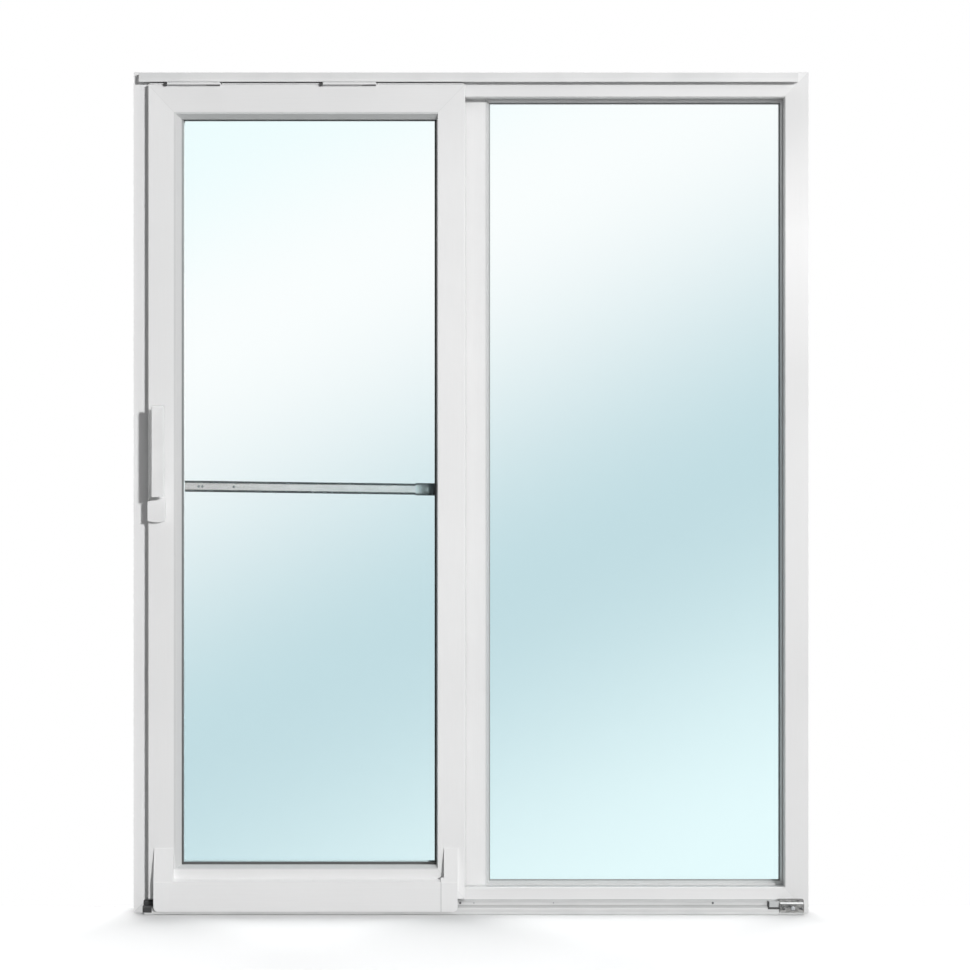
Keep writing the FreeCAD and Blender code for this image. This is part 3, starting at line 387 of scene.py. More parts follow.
def banded(material, axis, stops):
    """Multiply a finish's colour by a ramp of greys along one axis of the door."""
    tree = material.node_tree
    shader = tree.nodes["Principled BSDF"]
    plain = shader.inputs["Base Color"].links[0].from_socket
    where = add(tree, "ShaderNodeTexCoord", (-1100, 460))
    parts = add(tree, "ShaderNodeSeparateXYZ", (-900, 460))
    join(tree, where.outputs["Object"], parts.inputs[0])
    low, high = stops[0][0], stops[-1][0]
    ramp = add(tree, "ShaderNodeValToRGB", (-540, 460))
    along = spread(tree, parts.outputs[axis], 0.0, 1.0, (-720, 460), (low, high))
    join(tree, along, ramp.inputs["Fac"])
    fill_ramp(ramp, [((at - low) / (high - low), (share, share, share, 1.0)) for at, share in stops])
    times = add(tree, "ShaderNodeMix", (-240, 300), data_type="RGBA", blend_type="MULTIPLY")
    times.inputs["Factor"].default_value = 1.0
    join(tree, plain, times.inputs["A"])
    join(tree, ramp.outputs["Color"], times.inputs["B"])
    join(tree, times.outputs["Result"], shader.inputs["Base Color"])


# %% [markdown]
# ## White profiles
#
# Frame and sash are drawn plastic profiles, cut at 45 degrees and welded. The faint die lines run
# along each length, so uprights and level lengths get the same skin stretched in different
# directions. Several parts get lighter or darker copies of the same white plastic, and some
# get soft bands of tone: both are painted light and shade, because a long upright in a studio
# is rarely lit evenly from foot to head. A band's places are in metres along one axis of the door.

# %% White plastic finishes
UP = (1.0, 1.0, 0.02)
LEVEL = (0.02, 1.0, 1.0)
SATIN = (0.30, 0.38)
DULL = (0.34, 0.42)
DIE_RELIEF = (0.05, 0.0004)
PLASTIC_IOR = 1.52


def grey(level):
    return rgb(level, level, level)


def upvc(name, along, dark, light, rough=SATIN):
    """Drawn white plastic whose die lines run UP or LEVEL."""
    return finish(name, drawn_skin, {"Along": along}, dark, light, rough, DIE_RELIEF, IOR=PLASTIC_IOR)


upvc_upright = upvc("upvc_upright", UP, grey(228), grey(234))
# Painted light: a lighter copy of the white plastic for the left jamb, which lies in the sash's shade.
upvc_painted_light = upvc("upvc_painted_light", UP, grey(236), grey(242))
# Painted highlight on the right jamb: a lighter copy, brightest 1.65 m up, darker at foot and head.
upvc_jamb_painted_highlight = upvc("upvc_jamb_painted_highlight", UP, grey(240), grey(246))
banded(upvc_jamb_painted_highlight, "Z", [(0.0, 0.84), (1.3, 0.87), (1.65, 1.0), (1.95, 0.80)])
# Painted light and shade on the sash's right stile: a lighter copy, darker towards foot and head.
upvc_meeting_painted_light = upvc("upvc_meeting_painted_light", UP, grey(236), grey(242))
banded(upvc_meeting_painted_light, "Z", [(0.03, 0.92), (0.25, 0.98), (1.75, 0.97), (1.95, 0.90)])
upvc_level = upvc("upvc_level", LEVEL, grey(225), grey(231))
# Painted shade on the sill's top ledge, above 60 mm.
upvc_sill_painted_shade = upvc("upvc_sill_painted_shade", LEVEL, grey(226), grey(232))
banded(upvc_sill_painted_shade, "Z", [(0.0, 1.0), (0.0585, 1.0), (0.0600, 0.86), (0.0750, 0.86)])
# Painted shade on the post, darkest along its left edge beside the sash.
upvc_post_painted_shade = upvc("upvc_post_painted_shade", UP, grey(226), grey(232))
banded(upvc_post_painted_shade, "X", [(-0.046, 0.80), (-0.02, 0.90), (0.034, 0.98)])
# Painted light: a lighter copy of the white plastic for the bottom cover and its end caps.
cover_skin = upvc("cover_skin", LEVEL, grey(235), grey(240))
# Painted shade on the upper, sloping part of each end cap, above the bottom cover.
cap_painted_shade = upvc("cap_painted_shade", UP, grey(235), grey(240))
banded(cap_painted_shade, "Z", [(0.0, 1.0), (0.077, 1.0), (0.080, 0.93), (0.16, 0.93)])
# Painted shade: the beads are the same white plastic drawn greyer, the top bead greyest.
bead_upright_painted_shade = upvc("bead_upright_painted_shade", UP, rgb(204, 205, 205), grey(211))
bead_level_painted_shade = upvc("bead_level_painted_shade", LEVEL, rgb(209, 210, 210), grey(215))
bead_top_painted_shade = upvc("bead_top_painted_shade", LEVEL, rgb(202, 204, 204), rgb(209, 210, 210), DULL)
print("white plastic finishes ready")

# %% [markdown]
# ## Painted rails, welds and handle
#
# The rails are painted metal and a touch less even than plastic, so their lines are finer and their
# clouds smaller. Bands of painted shade follow the running rail's section: its ridge and the top of
# its wall are darker than its foot and the wall itself. The guide rail's face is darker above its
# lower edge, which paints a highlight along that edge. The welds are plain plastic without a
# direction, and the handle has the pebbled skin of a moulding, with painted shade only on the very
# top of its grip.

# %% Rail, weld and handle finishes
RAIL_DRAWING = {"Along": LEVEL, "Lines": 700.0, "Clouds": 9.0}
PAINT_SHINE = (0.34, 0.48)
PAINT_RELIEF = (0.08, 0.0004)
EVERY_WAY = (1.0, 1.0, 1.0)

rail_paint = finish(
    "rail_paint", drawn_skin, RAIL_DRAWING, rgb(216, 217, 217), grey(230), PAINT_SHINE, PAINT_RELIEF,
)
# Painted highlight: the guide rail's face is darker above its lower edge.
banded(rail_paint, "Z", [(1.99, 1.0), (2.009, 1.0), (2.014, 0.95), (2.025, 0.92)])
track_paint = finish(
    "track_paint", drawn_skin, RAIL_DRAWING, rgb(216, 217, 217), grey(228), PAINT_SHINE, PAINT_RELIEF,
)
# Painted shadow lines along the running rail: its ridge and the top of its wall are darker.
banded(track_paint, "Z", [
    (0.0050, 0.94), (0.0130, 0.94), (0.0165, 0.61), (0.0190, 0.61), (0.0205, 0.88), (0.0240, 0.88),
    (0.0280, 0.63),
])
weld_white = finish(
    "weld_white", drawn_skin, {"Along": EVERY_WAY, "Lines": 300.0}, rgb(214, 215, 215), grey(222),
    (0.36, 0.46), (0.08, 0.0003), IOR=PLASTIC_IOR,
)
handle_skin = finish(
    "handle_skin", moulded_skin, {"Grain": 900.0}, grey(226), grey(233), (0.32, 0.42), (0.04, 0.0003),
)
# Painted shade on the very top of the grip.
banded(handle_skin, "Z", [(0.9, 1.0), (1.2195, 1.0), (1.2205, 0.82)])
print("rail, weld and handle finishes ready")

# %% [markdown]
# ## Metals
#
# The bar across the sash is bright drawn aluminium, darker towards its left end. The stop at the end
# of the rail is a rough dark casting, mottled where the plating is uneven. Carriages, plates, spacers
# and screws are plainer. One recipe serves them all, with streaks that follow each piece.

# %% Metal finishes
FINE_RELIEF = (0.1, 0.0002)

bar_metal = finish(
    "bar_metal", metal_streaks, {"Along": LEVEL}, rgb(164, 155, 152), rgb(184, 175, 172),
    (0.34, 0.46), (0.06, 0.0002), Metallic=0.25,
)
banded(bar_metal, "X", [(-0.69, 0.72), (-0.5, 0.88), (-0.2, 1.0)])
spacer_skin = finish(
    "spacer_skin", metal_streaks, {"Along": (0.2, 1.0, 0.2)}, rgb(120, 123, 125), rgb(160, 163, 165),
    (0.34, 0.5), (0.05, 0.0002), Metallic=0.8,
)
stop_casting = finish(
    "stop_casting", metal_streaks, {"Along": (0.6, 1.0, 1.0), "Fineness": 160.0},
    rgb(52, 53, 54), rgb(148, 148, 146), (0.36, 0.6), (0.35, 0.0006), Metallic=0.7,
)
carriage_metal = finish(
    "carriage_metal", metal_streaks, {"Fineness": 300.0}, rgb(128, 130, 133), rgb(176, 178, 181),
    (0.3, 0.5), (0.1, 0.0003), Metallic=0.85,
)
# Painted highlight: a bright plated look for the strip on the stop's step.
stop_painted_highlight = finish(
    "stop_painted_highlight", metal_streaks, {"Fineness": 500.0}, rgb(182, 183, 184), grey(222),
    (0.3, 0.46), (0.08, 0.0002), Metallic=0.3,
)
screw_steel = finish(
    "screw_steel", metal_streaks, {"Along": EVERY_WAY, "Fineness": 400.0},
    rgb(66, 67, 68), rgb(108, 109, 110), (0.3, 0.5), FINE_RELIEF, Metallic=0.5,
)
print("metal finishes ready")

# %% [markdown]
# ## Rubber and dark plastic
#
# Gaskets are soft black rubber, which is never quite black: it picks up a little grey sheen along its
# curve. The sash's gasket carries painted light and shade: pale grey at its top, darker towards its
# foot and black along its right side. Seals, plugs, clips and the strips that paint shadows are
# moulded too, from nearly white to black.

# %% Rubber and dark plastic finishes
RUBBER_SHINE = (0.5, 0.7)
RUBBER_RELIEF = (0.15, 0.0002)
SEAL_SHINE = (0.5, 0.66)
HARD_SHINE = (0.42, 0.6)
SHADE_STRIP_SHINE = (0.45, 0.6)


def moulded(name, grain, dark, light, rough, bump):
    """Rubber or plastic with a pebbled skin of the given grain."""
    return finish(name, moulded_skin, {"Grain": grain}, dark, light, rough, bump)


def rubber(name, dark, light):
    return moulded(name, 1600.0, dark, light, RUBBER_SHINE, RUBBER_RELIEF)


gasket_rubber = rubber("gasket_rubber", rgb(18, 20, 20), rgb(34, 37, 37))
# Painted light and shade on the sash's gasket: pale at its top, darker below, black at its right.
sash_rubber = rubber("sash_rubber", rgb(150, 154, 154), rgb(164, 167, 167))
banded(sash_rubber, "X", [(-0.70, 1.0), (-0.13, 1.0), (-0.09, 0.06)])
banded(sash_rubber, "Z", [(0.12, 0.2), (1.0, 0.55), (1.91, 1.0)])
fixed_rubber = rubber("fixed_rubber", rgb(140, 144, 144), rgb(156, 159, 159))
end_plastic = moulded(
    "end_plastic", 1200.0, rgb(84, 86, 87), rgb(104, 106, 107), HARD_SHINE, RUBBER_RELIEF,
)
# The bar's end block: a painted shadow of the stile darkens its right end, and it is darker along its top
# and bottom edges.
block_plastic = moulded(
    "block_plastic", 1200.0, rgb(150, 148, 147), rgb(168, 166, 165), (0.4, 0.6), FINE_RELIEF,
)
banded(block_plastic, "X", [(-0.134, 1.0), (-0.116, 0.2)])
banded(block_plastic, "Z", [(1.011, 0.1), (1.0135, 1.0), (1.0315, 1.0), (1.034, 0.1)])
buffer_rubber = moulded(
    "buffer_rubber", 1000.0, rgb(184, 186, 187), rgb(208, 210, 210), SEAL_SHINE, (0.2, 0.0003),
)
# Black for the plug and the pivot blocks, and for the strips that paint shadows.
black_parts_and_painted_shadow = moulded("black_parts_and_painted_shadow", 1200.0, rgb(20, 21, 22), rgb(38, 39, 40), HARD_SHINE, FINE_RELIEF)
# Grey painted shadow along the stay arms.
arm_shadow_grey = moulded("arm_shadow_grey", 1400.0, rgb(96, 97, 98), rgb(114, 115, 116), SHADE_STRIP_SHINE, FINE_RELIEF)
# Grey for the cover's joint and for the painted shadow line along the rail.
joint_and_shadow_grey = moulded("joint_and_shadow_grey", 1400.0, rgb(178, 180, 180), rgb(194, 195, 195), SEAL_SHINE, FINE_RELIEF)
# Light grey painted shade for the strip under the running rail's foot.
foot_painted_shade = moulded("foot_painted_shade", 1400.0, rgb(216, 217, 217), grey(228), SHADE_STRIP_SHINE, FINE_RELIEF)
print("rubber and plastic finishes ready")

# %% [markdown]
# ## Glass
#
# Both lights carry one broad diagonal sheen, a painted reflection: near white at the upper left,
# pale blue across the middle, and paler again towards the lower right. It runs on from one light to
# the other, so the painted reflection is a colour ramp of four tones, eased into each other along a
# slanted line through the door. Only the room-side pane carries it, because two such panes would
# double it. Lamps pass through to the bar and the spacers. A low refraction keeps the panes from
# mirroring the studio.

# %% Glass finishes
SHEEN_SLOPE = (-0.48, 0.0, 1.0)
SHEEN_LOW = -0.20
SHEEN_HIGH = 2.22
GLASS_IOR = 1.17
GLASS_RIPPLE = 0.02


def glass(name, painted_sheen):
    """Clear pane coloured by a ramp of (place along the sheen, colour) pairs: a painted reflection."""
    material = bpy.data.materials.new(name)
    material.use_nodes = True
    tree = material.node_tree
    shader = tree.nodes["Principled BSDF"]
    shader.inputs["Transmission Weight"].default_value = 1.0
    shader.inputs["IOR"].default_value = GLASS_IOR
    where = add(tree, "ShaderNodeTexCoord", (-1300, 0))
    along = add(tree, "ShaderNodeVectorMath", (-1100, 0), operation="DOT_PRODUCT")
    along.inputs[1].default_value = SHEEN_SLOPE
    join(tree, where.outputs["Object"], along.inputs[0])
    place = spread(tree, along.outputs["Value"], 0.0, 1.0, (-900, 0), (SHEEN_LOW, SHEEN_HIGH))
    ramp = add(tree, "ShaderNodeValToRGB", (-700, 0))
    fill_ramp(ramp, [((spot - SHEEN_LOW) / (SHEEN_HIGH - SHEEN_LOW), colour) for spot, colour in painted_sheen])
    ramp.color_ramp.interpolation = "EASE"
    join(tree, place, ramp.inputs["Fac"])
    join(tree, ramp.outputs["Color"], shader.inputs["Base Color"])
    ripple = add(tree, "ShaderNodeTexNoise", (-900, -260))
    ripple.inputs["Scale"].default_value = 3.0
    join(tree, where.outputs["Object"], ripple.inputs["Vector"])
    dulled = spread(tree, ripple.outputs["Fac"], 0.0, GLASS_RIPPLE, (-700, -260))
    join(tree, dulled, shader.inputs["Roughness"])
    clear = add(tree, "ShaderNodeBsdfTransparent", (60, -200))
    path = add(tree, "ShaderNodeLightPath", (60, 400))
    choose = add(tree, "ShaderNodeMixShader", (320, 100))
    join(tree, path.outputs["Is Shadow Ray"], choose.inputs[0])
    join(tree, shader.outputs[0], choose.inputs[1])
    join(tree, clear.outputs[0], choose.inputs[2])
    join(tree, choose.outputs[0], tree.nodes["Material Output"].inputs["Surface"])
    return material


# Painted reflection: the broad diagonal sheen on the room-side pane.
glass_painted_reflection = glass("glass_painted_reflection", [
    (SHEEN_LOW, rgb(232, 252, 254)),
    (0.72, rgb(197, 222, 228)),
    (1.70, rgb(254, 255, 255)),
    (SHEEN_HIGH, rgb(242, 254, 255)),
])
plain_glass = glass("plain_glass", [
    (SHEEN_LOW, rgb(252, 254, 254)),
    (SHEEN_HIGH, rgb(250, 254, 254)),
])
print("glass ready")

# %% [markdown]
# ## Dressing the solids
#
# The solids keep their meshes. Only their material slots change, chosen by the name of the piece.

# %% Give each solid its finish
BY_NAME = [
    ("glass_inner", glass_painted_reflection),
    ("glass_outer", plain_glass),
    ("spacer", spacer_skin),
    ("sash_gasket", sash_rubber),
    ("fixed_gasket", fixed_rubber),
    ("sash_seal", gasket_rubber),
    ("cross_bar_trim", gasket_rubber),
    ("cross_bar_end", block_plastic),
    ("cross_bar", bar_metal),
    ("guide_rail", rail_paint),
    ("running_rail", track_paint),
    ("stay_arm", rail_paint),
    ("rail_stop_buffer", buffer_rubber),
    ("rail_end_stop", stop_casting),
    ("carriage", carriage_metal),
    ("roller", end_plastic),
    ("handle", handle_skin),
    ("sash_bead_top", bead_top_painted_shade),
    ("sash_bead_left", bead_upright_painted_shade),
    ("fixed_bead_left", bead_upright_painted_shade),
    ("bead_bottom", bead_level_painted_shade),
    ("bead_right", upvc_upright),
    ("jamb_left", upvc_painted_light),
    ("jamb_right", upvc_jamb_painted_highlight),
    ("stile_left", upvc_upright),
    ("stile_right", upvc_meeting_painted_light),
    ("bottom_cover", cover_skin),
    ("post", upvc_post_painted_shade),
    ("cap", cap_painted_shade),
    ("sill", upvc_sill_painted_shade),
]
for name, solid in nodes.items():
    chosen = next((look for part, look in BY_NAME if part in name), upvc_level)
    if not solid.material_slots:
        solid.data.materials.append(chosen)
    for place in solid.material_slots:
        place.material = chosen
print("solids dressed:", len(nodes))

# %% [markdown]
# ## Tools for the small parts
#
# The parts below are too fine for the solid model. Each is an outline that is pulled along the door
# or spun round an axis, and its points are measured from a corner of the solid that carries it, so it
# stays in its seat when the solids change. The shapes are drawn straight in door coordinates: every
# object keeps its origin at the door's and needs no move. A part then rides on the body that
# carries it.

# %% Helpers for new pieces
MM = 0.001


def box_of(name):
    """Lowest and highest corner of a solid, in millimetres to the nearest hundredth."""
    spots = [corner.co / MM for corner in nodes[name].data.vertices]
    low = Vector([round(min(spot[axis] for spot in spots), 2) for axis in range(3)])
    high = Vector([round(max(spot[axis] for spot in spots), 2) for axis in range(3)])
    return low, high


def pulled(shape, points, low, high, base):
    """Pull an outline along X. Its (y, z) points are millimetres from a base pair of y and z."""
    corners = [shape.verts.new((low * MM, (base[0] + y) * MM, (base[1] + z) * MM)) for y, z in points]
    face = shape.faces.new(corners)
    grown = bmesh.ops.extrude_face_region(shape, geom=[face])
    fresh = [item for item in grown["geom"] if isinstance(item, bmesh.types.BMVert)]
    bmesh.ops.translate(shape, vec=((high - low) * MM, 0.0, 0.0), verts=fresh)
    return corners + fresh


def softened(shape, verts, width):
    """Bevel every edge between the given corners."""
    chosen = set(verts)
    edges = [edge for edge in shape.edges if all(corner in chosen for corner in edge.verts)]
    bmesh.ops.bevel(
        shape, geom=edges, offset=width * MM, offset_type="OFFSET", affect="EDGES",
        segments=2, profile=0.5, material=-1, clamp_overlap=True,
    )


def turned(shape, profile, middle):
    """Spin a profile of (radius, forward) pairs in millimetres round an axis towards the room."""
    x, y, z = (part * MM for part in middle)
    corners = [shape.verts.new((x + radius * MM, y - forward * MM, z)) for radius, forward in profile]
    edges = [shape.edges.new(pair) for pair in zip(corners, corners[1:])]
    bmesh.ops.spin(
        shape, geom=corners + edges, cent=(x, y, z), axis=(0.0, 1.0, 0.0),
        angle=math.radians(360.0), steps=20, use_merge=True, use_duplicate=False,
    )
    bmesh.ops.remove_doubles(shape, verts=shape.verts, dist=1e-6)


def piece(name, shape, body, look):
    """Close a shape as an object that rides on a body."""
    bmesh.ops.recalc_face_normals(shape, faces=shape.faces)
    gaps = sum(1 for edge in shape.edges if len(edge.link_faces) != 2)
    if gaps:
        raise RuntimeError("%s has %d open edges" % (name, gaps))
    mesh = bpy.data.meshes.new(name)
    shape.to_mesh(mesh)
    shape.free()
    made = bpy.data.objects.new(name, mesh)
    bpy.context.scene.collection.objects.link(made)
    mesh.materials.append(look)
    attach(made, body)
    print(name, "rides on", body, "with", len(mesh.polygons), "faces")


# %% [markdown]
# ## Rail end plug
#
# A black plastic plug closes the left end of the running rail. Its black stands for the rail's dark
# open end and also paints the shade that the end cap throws there. It is a sleeve over the rail's
# section, so its outline follows that section one millimetre further out. Pulling the outline along
# the rail and bevelling all its edges gives the moulded look.

# %% Make the rail end plug
RAIL_LOW, RAIL_HIGH = box_of("running_rail")
RAIL_FOOT = (RAIL_LOW.y, RAIL_LOW.z)
PLUG_OVERHANG = 1.0
PLUG_GRIP = 21.0

# The plug's black is partly its own colour and partly painted shade under the end cap.
shape = bmesh.new()
verts = pulled(shape, [
    (-1.0, -0.8), (33.9, -0.8), (33.9, 26.0), (24.4, 26.0), (20.9, 22.5), (20.9, 15.1), (2.5, 15.1),
    (-1.0, 11.6),
], RAIL_LOW.x - PLUG_OVERHANG, RAIL_LOW.x + PLUG_GRIP, RAIL_FOOT)
softened(shape, verts, 0.6)
piece("rail_end_plug", shape, "frame", black_parts_and_painted_shadow)

# %% [markdown]
# ## Rail shadow line and shade strip
#
# A thin grey strip on the sill, along the top of the running rail, paints the shadow line in the
# joint between them. A light grey strip fills the gap under the rail's front edge, and its grey
# paints the soft contact shade at the rail's foot. Each is one small outline pulled along the rail.

# %% Make the rail's painted shadow line and shade strip
STOP_LOW, STOP_HIGH = box_of("rail_end_stop")
SHADOW_LINE_START = PLUG_GRIP + 5.0
FOOT_STRIP_START = 3.0
FOOT_STRIP_END = 1.0

# Painted shadow: a grey strip in the joint between the rail's top and the sill.
shape = bmesh.new()
pulled(shape, [
    (0.1, -0.1), (0.1, 2.6), (-1.7, 2.3), (-3.1, 1.4), (-3.5, -0.1),
], RAIL_LOW.x + SHADOW_LINE_START, RAIL_HIGH.x, (RAIL_HIGH.y, RAIL_HIGH.z))
piece("rail_shadow_line", shape, "frame", joint_and_shadow_grey)
# Painted shade: a light grey strip under the rail's front edge for the contact shade at its foot.
shape = bmesh.new()
pulled(shape, [
    (-0.2, -4.6), (-0.4, -1.8), (0.5, 0.1), (3.0, 0.1), (3.0, -4.6),
], RAIL_LOW.x + FOOT_STRIP_START, STOP_HIGH.x - FOOT_STRIP_END, RAIL_FOOT)
piece("rail_foot_shade_strip", shape, "frame", foot_painted_shade)

# %% [markdown]
# ## Screws and bolts
#
# Pan-head screws and smaller pins hold the rail to the sill, three bolts hold the stop, and three
# small screws hold the bar across the sash. A head is round, so half of its section is drawn once
# and spun. The dip in the middle is the drive recess. One list of places serves each set, and each
# set is one object.

# %% Shape of a head
def head(radius, forward):
    """Half section of a head with a recess, as (radius, forward) pairs."""
    return [
        (0.0, forward * 0.4), (radius * 0.38, forward * 0.4), (radius * 0.46, forward),
        (radius * 0.75, forward * 0.9), (radius, forward * 0.35), (radius, -0.3), (0.0, -0.3),
    ]


def fasteners(name, heads, face, body, look):
    """One object with heads on one face, each given as x, z and its radius and height."""
    shape = bmesh.new()
    for x, z, size in heads:
        turned(shape, head(*size), (x, face, z))
    piece(name, shape, body, look)


# %% Make the fasteners
BUFFER_LOW, BUFFER_HIGH = box_of("rail_stop_buffer")
BAR_LOW, BAR_HIGH = box_of("cross_bar")
RAIL_WALL = BUFFER_HIGH.y
SCREW_HEAD = (2.7, 1.6)
SCREW_HEIGHT = RAIL_HIGH.z - 5.1
SCREW_PLACES = (220.0, 763.0, 1372.0)
PIN_HEAD = (1.7, 0.9)
PIN_HEIGHT = RAIL_HIGH.z - 5.0
PIN_PLACES = (412.0, 604.0, 796.0, 988.0)
BOLT_HEIGHT = STOP_LOW.z + 9.5
LEFT_BOLT_HEAD = (3.6, 2.0)
CENTRE_BOLT_HEAD = (5.4, 2.0)
RIGHT_BOLT_HEAD = (3.4, 2.0)
BAR_SCREW_HEAD = (3.0, 1.2)
BAR_SCREW_PLACES = ((33.5, 8.5), (42.5, 8.6), (118.5, 9.6))

fasteners("rail_screws", [
    (RAIL_LOW.x + along, SCREW_HEIGHT, SCREW_HEAD) for along in SCREW_PLACES
], RAIL_WALL, "frame", screw_steel)
fasteners("rail_pins", [
    (RAIL_LOW.x + along, PIN_HEIGHT, PIN_HEAD) for along in PIN_PLACES
], RAIL_WALL, "frame", carriage_metal)
fasteners("stop_bolts", [
    (STOP_LOW.x + 10.0, BOLT_HEIGHT, LEFT_BOLT_HEAD),
    (STOP_LOW.x + 54.0, BOLT_HEIGHT, RIGHT_BOLT_HEAD),
], STOP_LOW.y, "frame", screw_steel)
fasteners("stop_centre_bolt", [
    (STOP_LOW.x + 32.0, BOLT_HEIGHT, CENTRE_BOLT_HEAD),
], STOP_LOW.y, "frame", carriage_metal)
fasteners("bar_screws", [
    (BAR_LOW.x + along, BAR_HIGH.z - drop, BAR_SCREW_HEAD) for along, drop in BAR_SCREW_PLACES
], BAR_LOW.y, "sash", screw_steel)

# %% [markdown]
# ## Painted highlight and shadows at the stop
#
# A bright strip on the step of the cast stop paints the highlight that the step catches. The grey
# buffer in front of it gets a black strip down its left side and another along its foot that hooks
# over the rail's front edge: both paint the shadow gaps round the buffer. The left strip leaves a
# saddle free for the round ridge, as the buffer itself does.

# %% Make the stop's painted highlight
HIGHLIGHT_INSET = 1.5

shape = bmesh.new()
verts = pulled(shape, [
    (0.1, 19.6), (5.0, 22.9), (9.1, 22.9), (9.1, 23.9), (4.5, 23.9), (-0.6, 20.2),
], STOP_LOW.x + HIGHLIGHT_INSET, STOP_HIGH.x - HIGHLIGHT_INSET, (STOP_LOW.y, STOP_LOW.z))
softened(shape, verts, 0.15)
piece("stop_highlight_strip", shape, "frame", stop_painted_highlight)

# %% Make the buffer's painted shadows
BUFFER_FOOT = (BUFFER_LOW.y, BUFFER_LOW.z)

# Painted shadow: black strips down the buffer's left side and along its foot.
shape = bmesh.new()
verts = pulled(shape, [
    (-0.3, 0.1), (3.3, 0.1), (3.3, 3.8), (10.7, 3.8), (10.7, 0.1), (19.8, 0.1), (19.8, 14.3), (-0.3, 14.3),
], BUFFER_LOW.x - 0.6, BUFFER_LOW.x + 4.0, BUFFER_FOOT)
softened(shape, verts, 0.3)
piece("buffer_shadow_side", shape, "frame", black_parts_and_painted_shadow)
shape = bmesh.new()
verts = pulled(shape, [
    (-2.9, -3.6), (-2.9, -1.8), (-0.1, 1.2), (1.5, 1.2), (1.5, 0.05), (0.9, 0.05), (-2.05, -2.95),
    (-2.05, -3.6),
], BUFFER_LOW.x, BUFFER_HIGH.x, BUFFER_FOOT)
softened(shape, verts, 0.1)
piece("buffer_shadow_foot", shape, "frame", black_parts_and_painted_shadow)

# %% [markdown]
# ## Stay arm fittings
#
# Each stay arm turns on a black block at its left end. Along its lower half a grey inlay, ending in a
# black one, paints the shadow of the gap under the arm. The blocks are bevelled outlines, and the
# inlays are thin strips on the arm's face, which keeps the arm's own solid as it is. A white cover
# strip stands over the inlays, in front of the gap below the guide rail. Both arms are alike, so one
# function makes a fitting on each.

# %% Make the stay arm fittings
ARMS = [box_of("stay_arm_left"), box_of("stay_arm_right")]
PIVOT_START = -5.0
PIVOT_END = 3.0
GREY_SHADOW_END = 98.0
BLACK_SHADOW_END = 131.0


def on_arms(name, points, low, high, bevel, look):
    """The same fitting on both arms, with its places measured from an arm's lower left front corner."""
    shape = bmesh.new()
    for arm, _ in ARMS:
        verts = pulled(shape, points, arm.x + low, arm.x + high, (arm.y, arm.z))
        if bevel:
            softened(shape, verts, bevel)
    piece(name, shape, "sash", look)


on_arms("arm_pivots", [
    (-1.3, -0.3), (-1.3, 5.1), (-0.3, 5.9), (3.9, 5.9), (3.9, -0.3),
], PIVOT_START, PIVOT_END, 0.4, black_parts_and_painted_shadow)
# Painted shadow: a grey inlay and a black end under each arm.
on_arms("arm_painted_shadows", [
    (0.1, 0.3), (0.1, 3.0), (-0.4, 2.7), (-0.4, 0.6),
], PIVOT_END, GREY_SHADOW_END, 0.0, arm_shadow_grey)
on_arms("arm_painted_shadow_ends", [
    (0.1, 0.1), (0.1, 3.2), (-0.8, 2.9), (-0.8, 0.4),
], GREY_SHADOW_END, BLACK_SHADOW_END, 0.2, black_parts_and_painted_shadow)
on_arms("arm_covers", [
    (0.1, 3.3), (0.1, 8.9), (-0.6, 8.9), (-1.0, 8.3), (-1.0, 3.3),
], PIVOT_END + 0.5, BLACK_SHADOW_END, 0.1, rail_paint)

# %% [markdown]
# ## Top seal
#
# A white lip on the sash's top edge narrows the gap under the guide rail. It stops short of the stay
# arms, so it is pulled in three lengths.

# %% Make the top seal
SASH_LOW = box_of("sash_stile_left")[0]
SASH_HIGH = box_of("sash_stile_right")[1]
EDGE_INSET = 4.0
SPACE_BEFORE_ARM = 6.0
SPACE_AFTER_ARM = 2.0

shape = bmesh.new()
lip_starts = [SASH_LOW.x + EDGE_INSET] + [high.x + SPACE_AFTER_ARM for _, high in ARMS]
lip_ends = [low.x - SPACE_BEFORE_ARM for low, _ in ARMS] + [SASH_HIGH.x - EDGE_INSET]
for low, high in zip(lip_starts, lip_ends):
    pulled(shape, [
        (0.1, -0.1), (0.7, 2.4), (1.9, 2.4), (2.5, -0.1),
    ], low, high, (SASH_LOW.y, SASH_HIGH.z))
piece("sash_top_seal", shape, "sash", weld_white)

# %% [markdown]
# ## Weld seams
#
# The mitres of frame and sash are welded, and the welding leaves a fine line from corner to corner.
# Each line is a flat strip laid on the face and raised a quarter of a millimetre. Front and back have
# their own corners, because the profiles are stepped, so the seams can be found from both sides.

# %% Shape of a seam
SEAM_WIDTH = 1.0
SEAM_RISE = 0.25
OUTER_SPACE = 3.0
INNER_SPACE = 0.6


def seam(shape, outer, inner, depth, rise):
    """Raised strip on a face at one depth between two (x, z) points in millimetres."""
    start = Vector((outer[0], 0.0, outer[1]))
    end = Vector((inner[0], 0.0, inner[1]))
    along = (end - start).normalized()
    across = Vector((-along.z, 0.0, along.x)) * (SEAM_WIDTH / 2)
    start += along * OUTER_SPACE
    end -= along * INNER_SPACE
    base = Vector((0.0, depth, 0.0))
    spots = (start - across, end - across, end + across, start + across)
    face = shape.faces.new([shape.verts.new((spot + base) * MM) for spot in spots])
    grown = bmesh.ops.extrude_face_region(shape, geom=[face])
    fresh = [item for item in grown["geom"] if isinstance(item, bmesh.types.BMVert)]
    bmesh.ops.translate(shape, vec=(0.0, rise * MM, 0.0), verts=fresh)
    softened(shape, fresh, 0.1)


def ring_seams(shape, outer, inner, depth, rise):
    """Four seams between the corners of two rectangles given as left, right, bottom and top."""
    for side in (0, 1):
        for level in (2, 3):
            seam(shape, (outer[side], outer[level]), (inner[side], inner[level]), depth, rise)


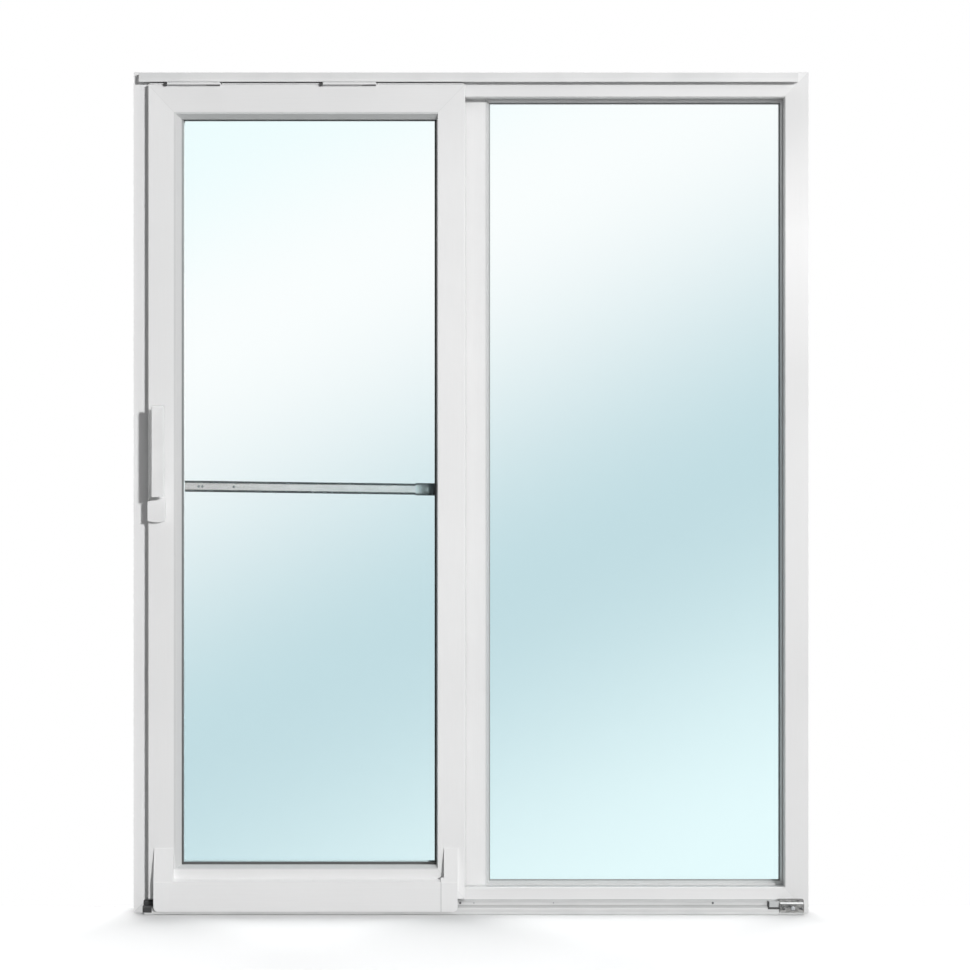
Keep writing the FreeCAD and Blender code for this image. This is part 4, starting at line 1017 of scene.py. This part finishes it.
def opening(left, right, bottom, top):
    """Rectangle that four solids leave free between them."""
    return box_of(left)[1].x, box_of(right)[0].x, box_of(bottom)[1].z, box_of(top)[0].z


# %% Make the frame's weld seams
FRAME_LOW = box_of("frame_jamb_left")[0]
FRAME_HIGH = box_of("frame_jamb_right")[1]
SIDE_STEP = 6.0
LEVEL_STEP = 8.0

outside = (FRAME_LOW.x, FRAME_HIGH.x, FRAME_LOW.z, FRAME_HIGH.z)
left, right, bottom, top = opening("frame_jamb_left", "frame_jamb_right", "frame_sill", "frame_head")
face_edge = (left - SIDE_STEP, right + SIDE_STEP, bottom - LEVEL_STEP, top + LEVEL_STEP)
shape = bmesh.new()
ring_seams(shape, outside, face_edge, FRAME_LOW.y, -SEAM_RISE)
ring_seams(shape, outside, (left, right, bottom, top), FRAME_HIGH.y, SEAM_RISE)
piece("frame_welds", shape, "frame", weld_white)

# %% Make the sash's weld seams
BODY_LEFT = SASH_LOW.x + 33.0
BODY_BOTTOM = SASH_LOW.z + 39.0
BODY_TOP = SASH_HIGH.z - 41.0

outside = (SASH_LOW.x, SASH_HIGH.x, SASH_LOW.z, SASH_HIGH.z)
bead_edge = (
    box_of("sash_bead_left")[0].x, box_of("sash_bead_right")[1].x,
    box_of("sash_bead_bottom")[0].z, box_of("sash_bead_top")[1].z,
)
body = (BODY_LEFT, SASH_HIGH.x, BODY_BOTTOM, BODY_TOP)
rebate = opening("sash_stile_left", "sash_stile_right", "sash_rail_bottom", "sash_rail_top")
shape = bmesh.new()
ring_seams(shape, outside, bead_edge, SASH_LOW.y, -SEAM_RISE)
ring_seams(shape, body, rebate, SASH_HIGH.y, SEAM_RISE)
piece("sash_welds", shape, "sash", weld_white)

# %% [markdown]
# ## Cover joint
#
# Where the bottom cover meets its right end cap, a narrow grey joint shows. It is drawn as a thin
# gasket that follows the cover's bent front, with the same slope at its top.

# %% Make the cover joint
COVER_LOW, COVER_HIGH = box_of("bottom_cover")
JOINT_HALF = 0.6

shape = bmesh.new()
pulled(shape, [
    (0.1, 0.2), (-0.6, 0.2), (-0.6, 72.4), (19.9, 78.6), (19.9, 77.9), (0.1, 71.9),
], COVER_HIGH.x - JOINT_HALF, COVER_HIGH.x + JOINT_HALF, (COVER_LOW.y, COVER_LOW.z))
piece("cover_joint", shape, "sash", joint_and_shadow_grey)

# %% [markdown]
# ## Soften the rail's shadows
#
# The key lamp is small, so the running rail, its plug and the buffer would throw hard shadows that a
# broad studio light doesn't. A lamp can be told which objects don't block it: they go into a
# collection of their own, marked as excluded.

# %% Let the key lamp pass the rail's small ends
passed = bpy.data.collections.new("no_key_shadow")
small_parts = [bpy.data.objects[name] for name in ("rail_end_plug", "buffer_shadow_side", "buffer_shadow_foot")]
for thing in small_parts + [nodes["running_rail"], nodes["rail_stop_buffer"]]:
    passed.objects.link(thing)
for entry in passed.collection_objects:
    entry.light_linking.link_state = "EXCLUDE"
key_sun.light_linking.blocker_collection = passed
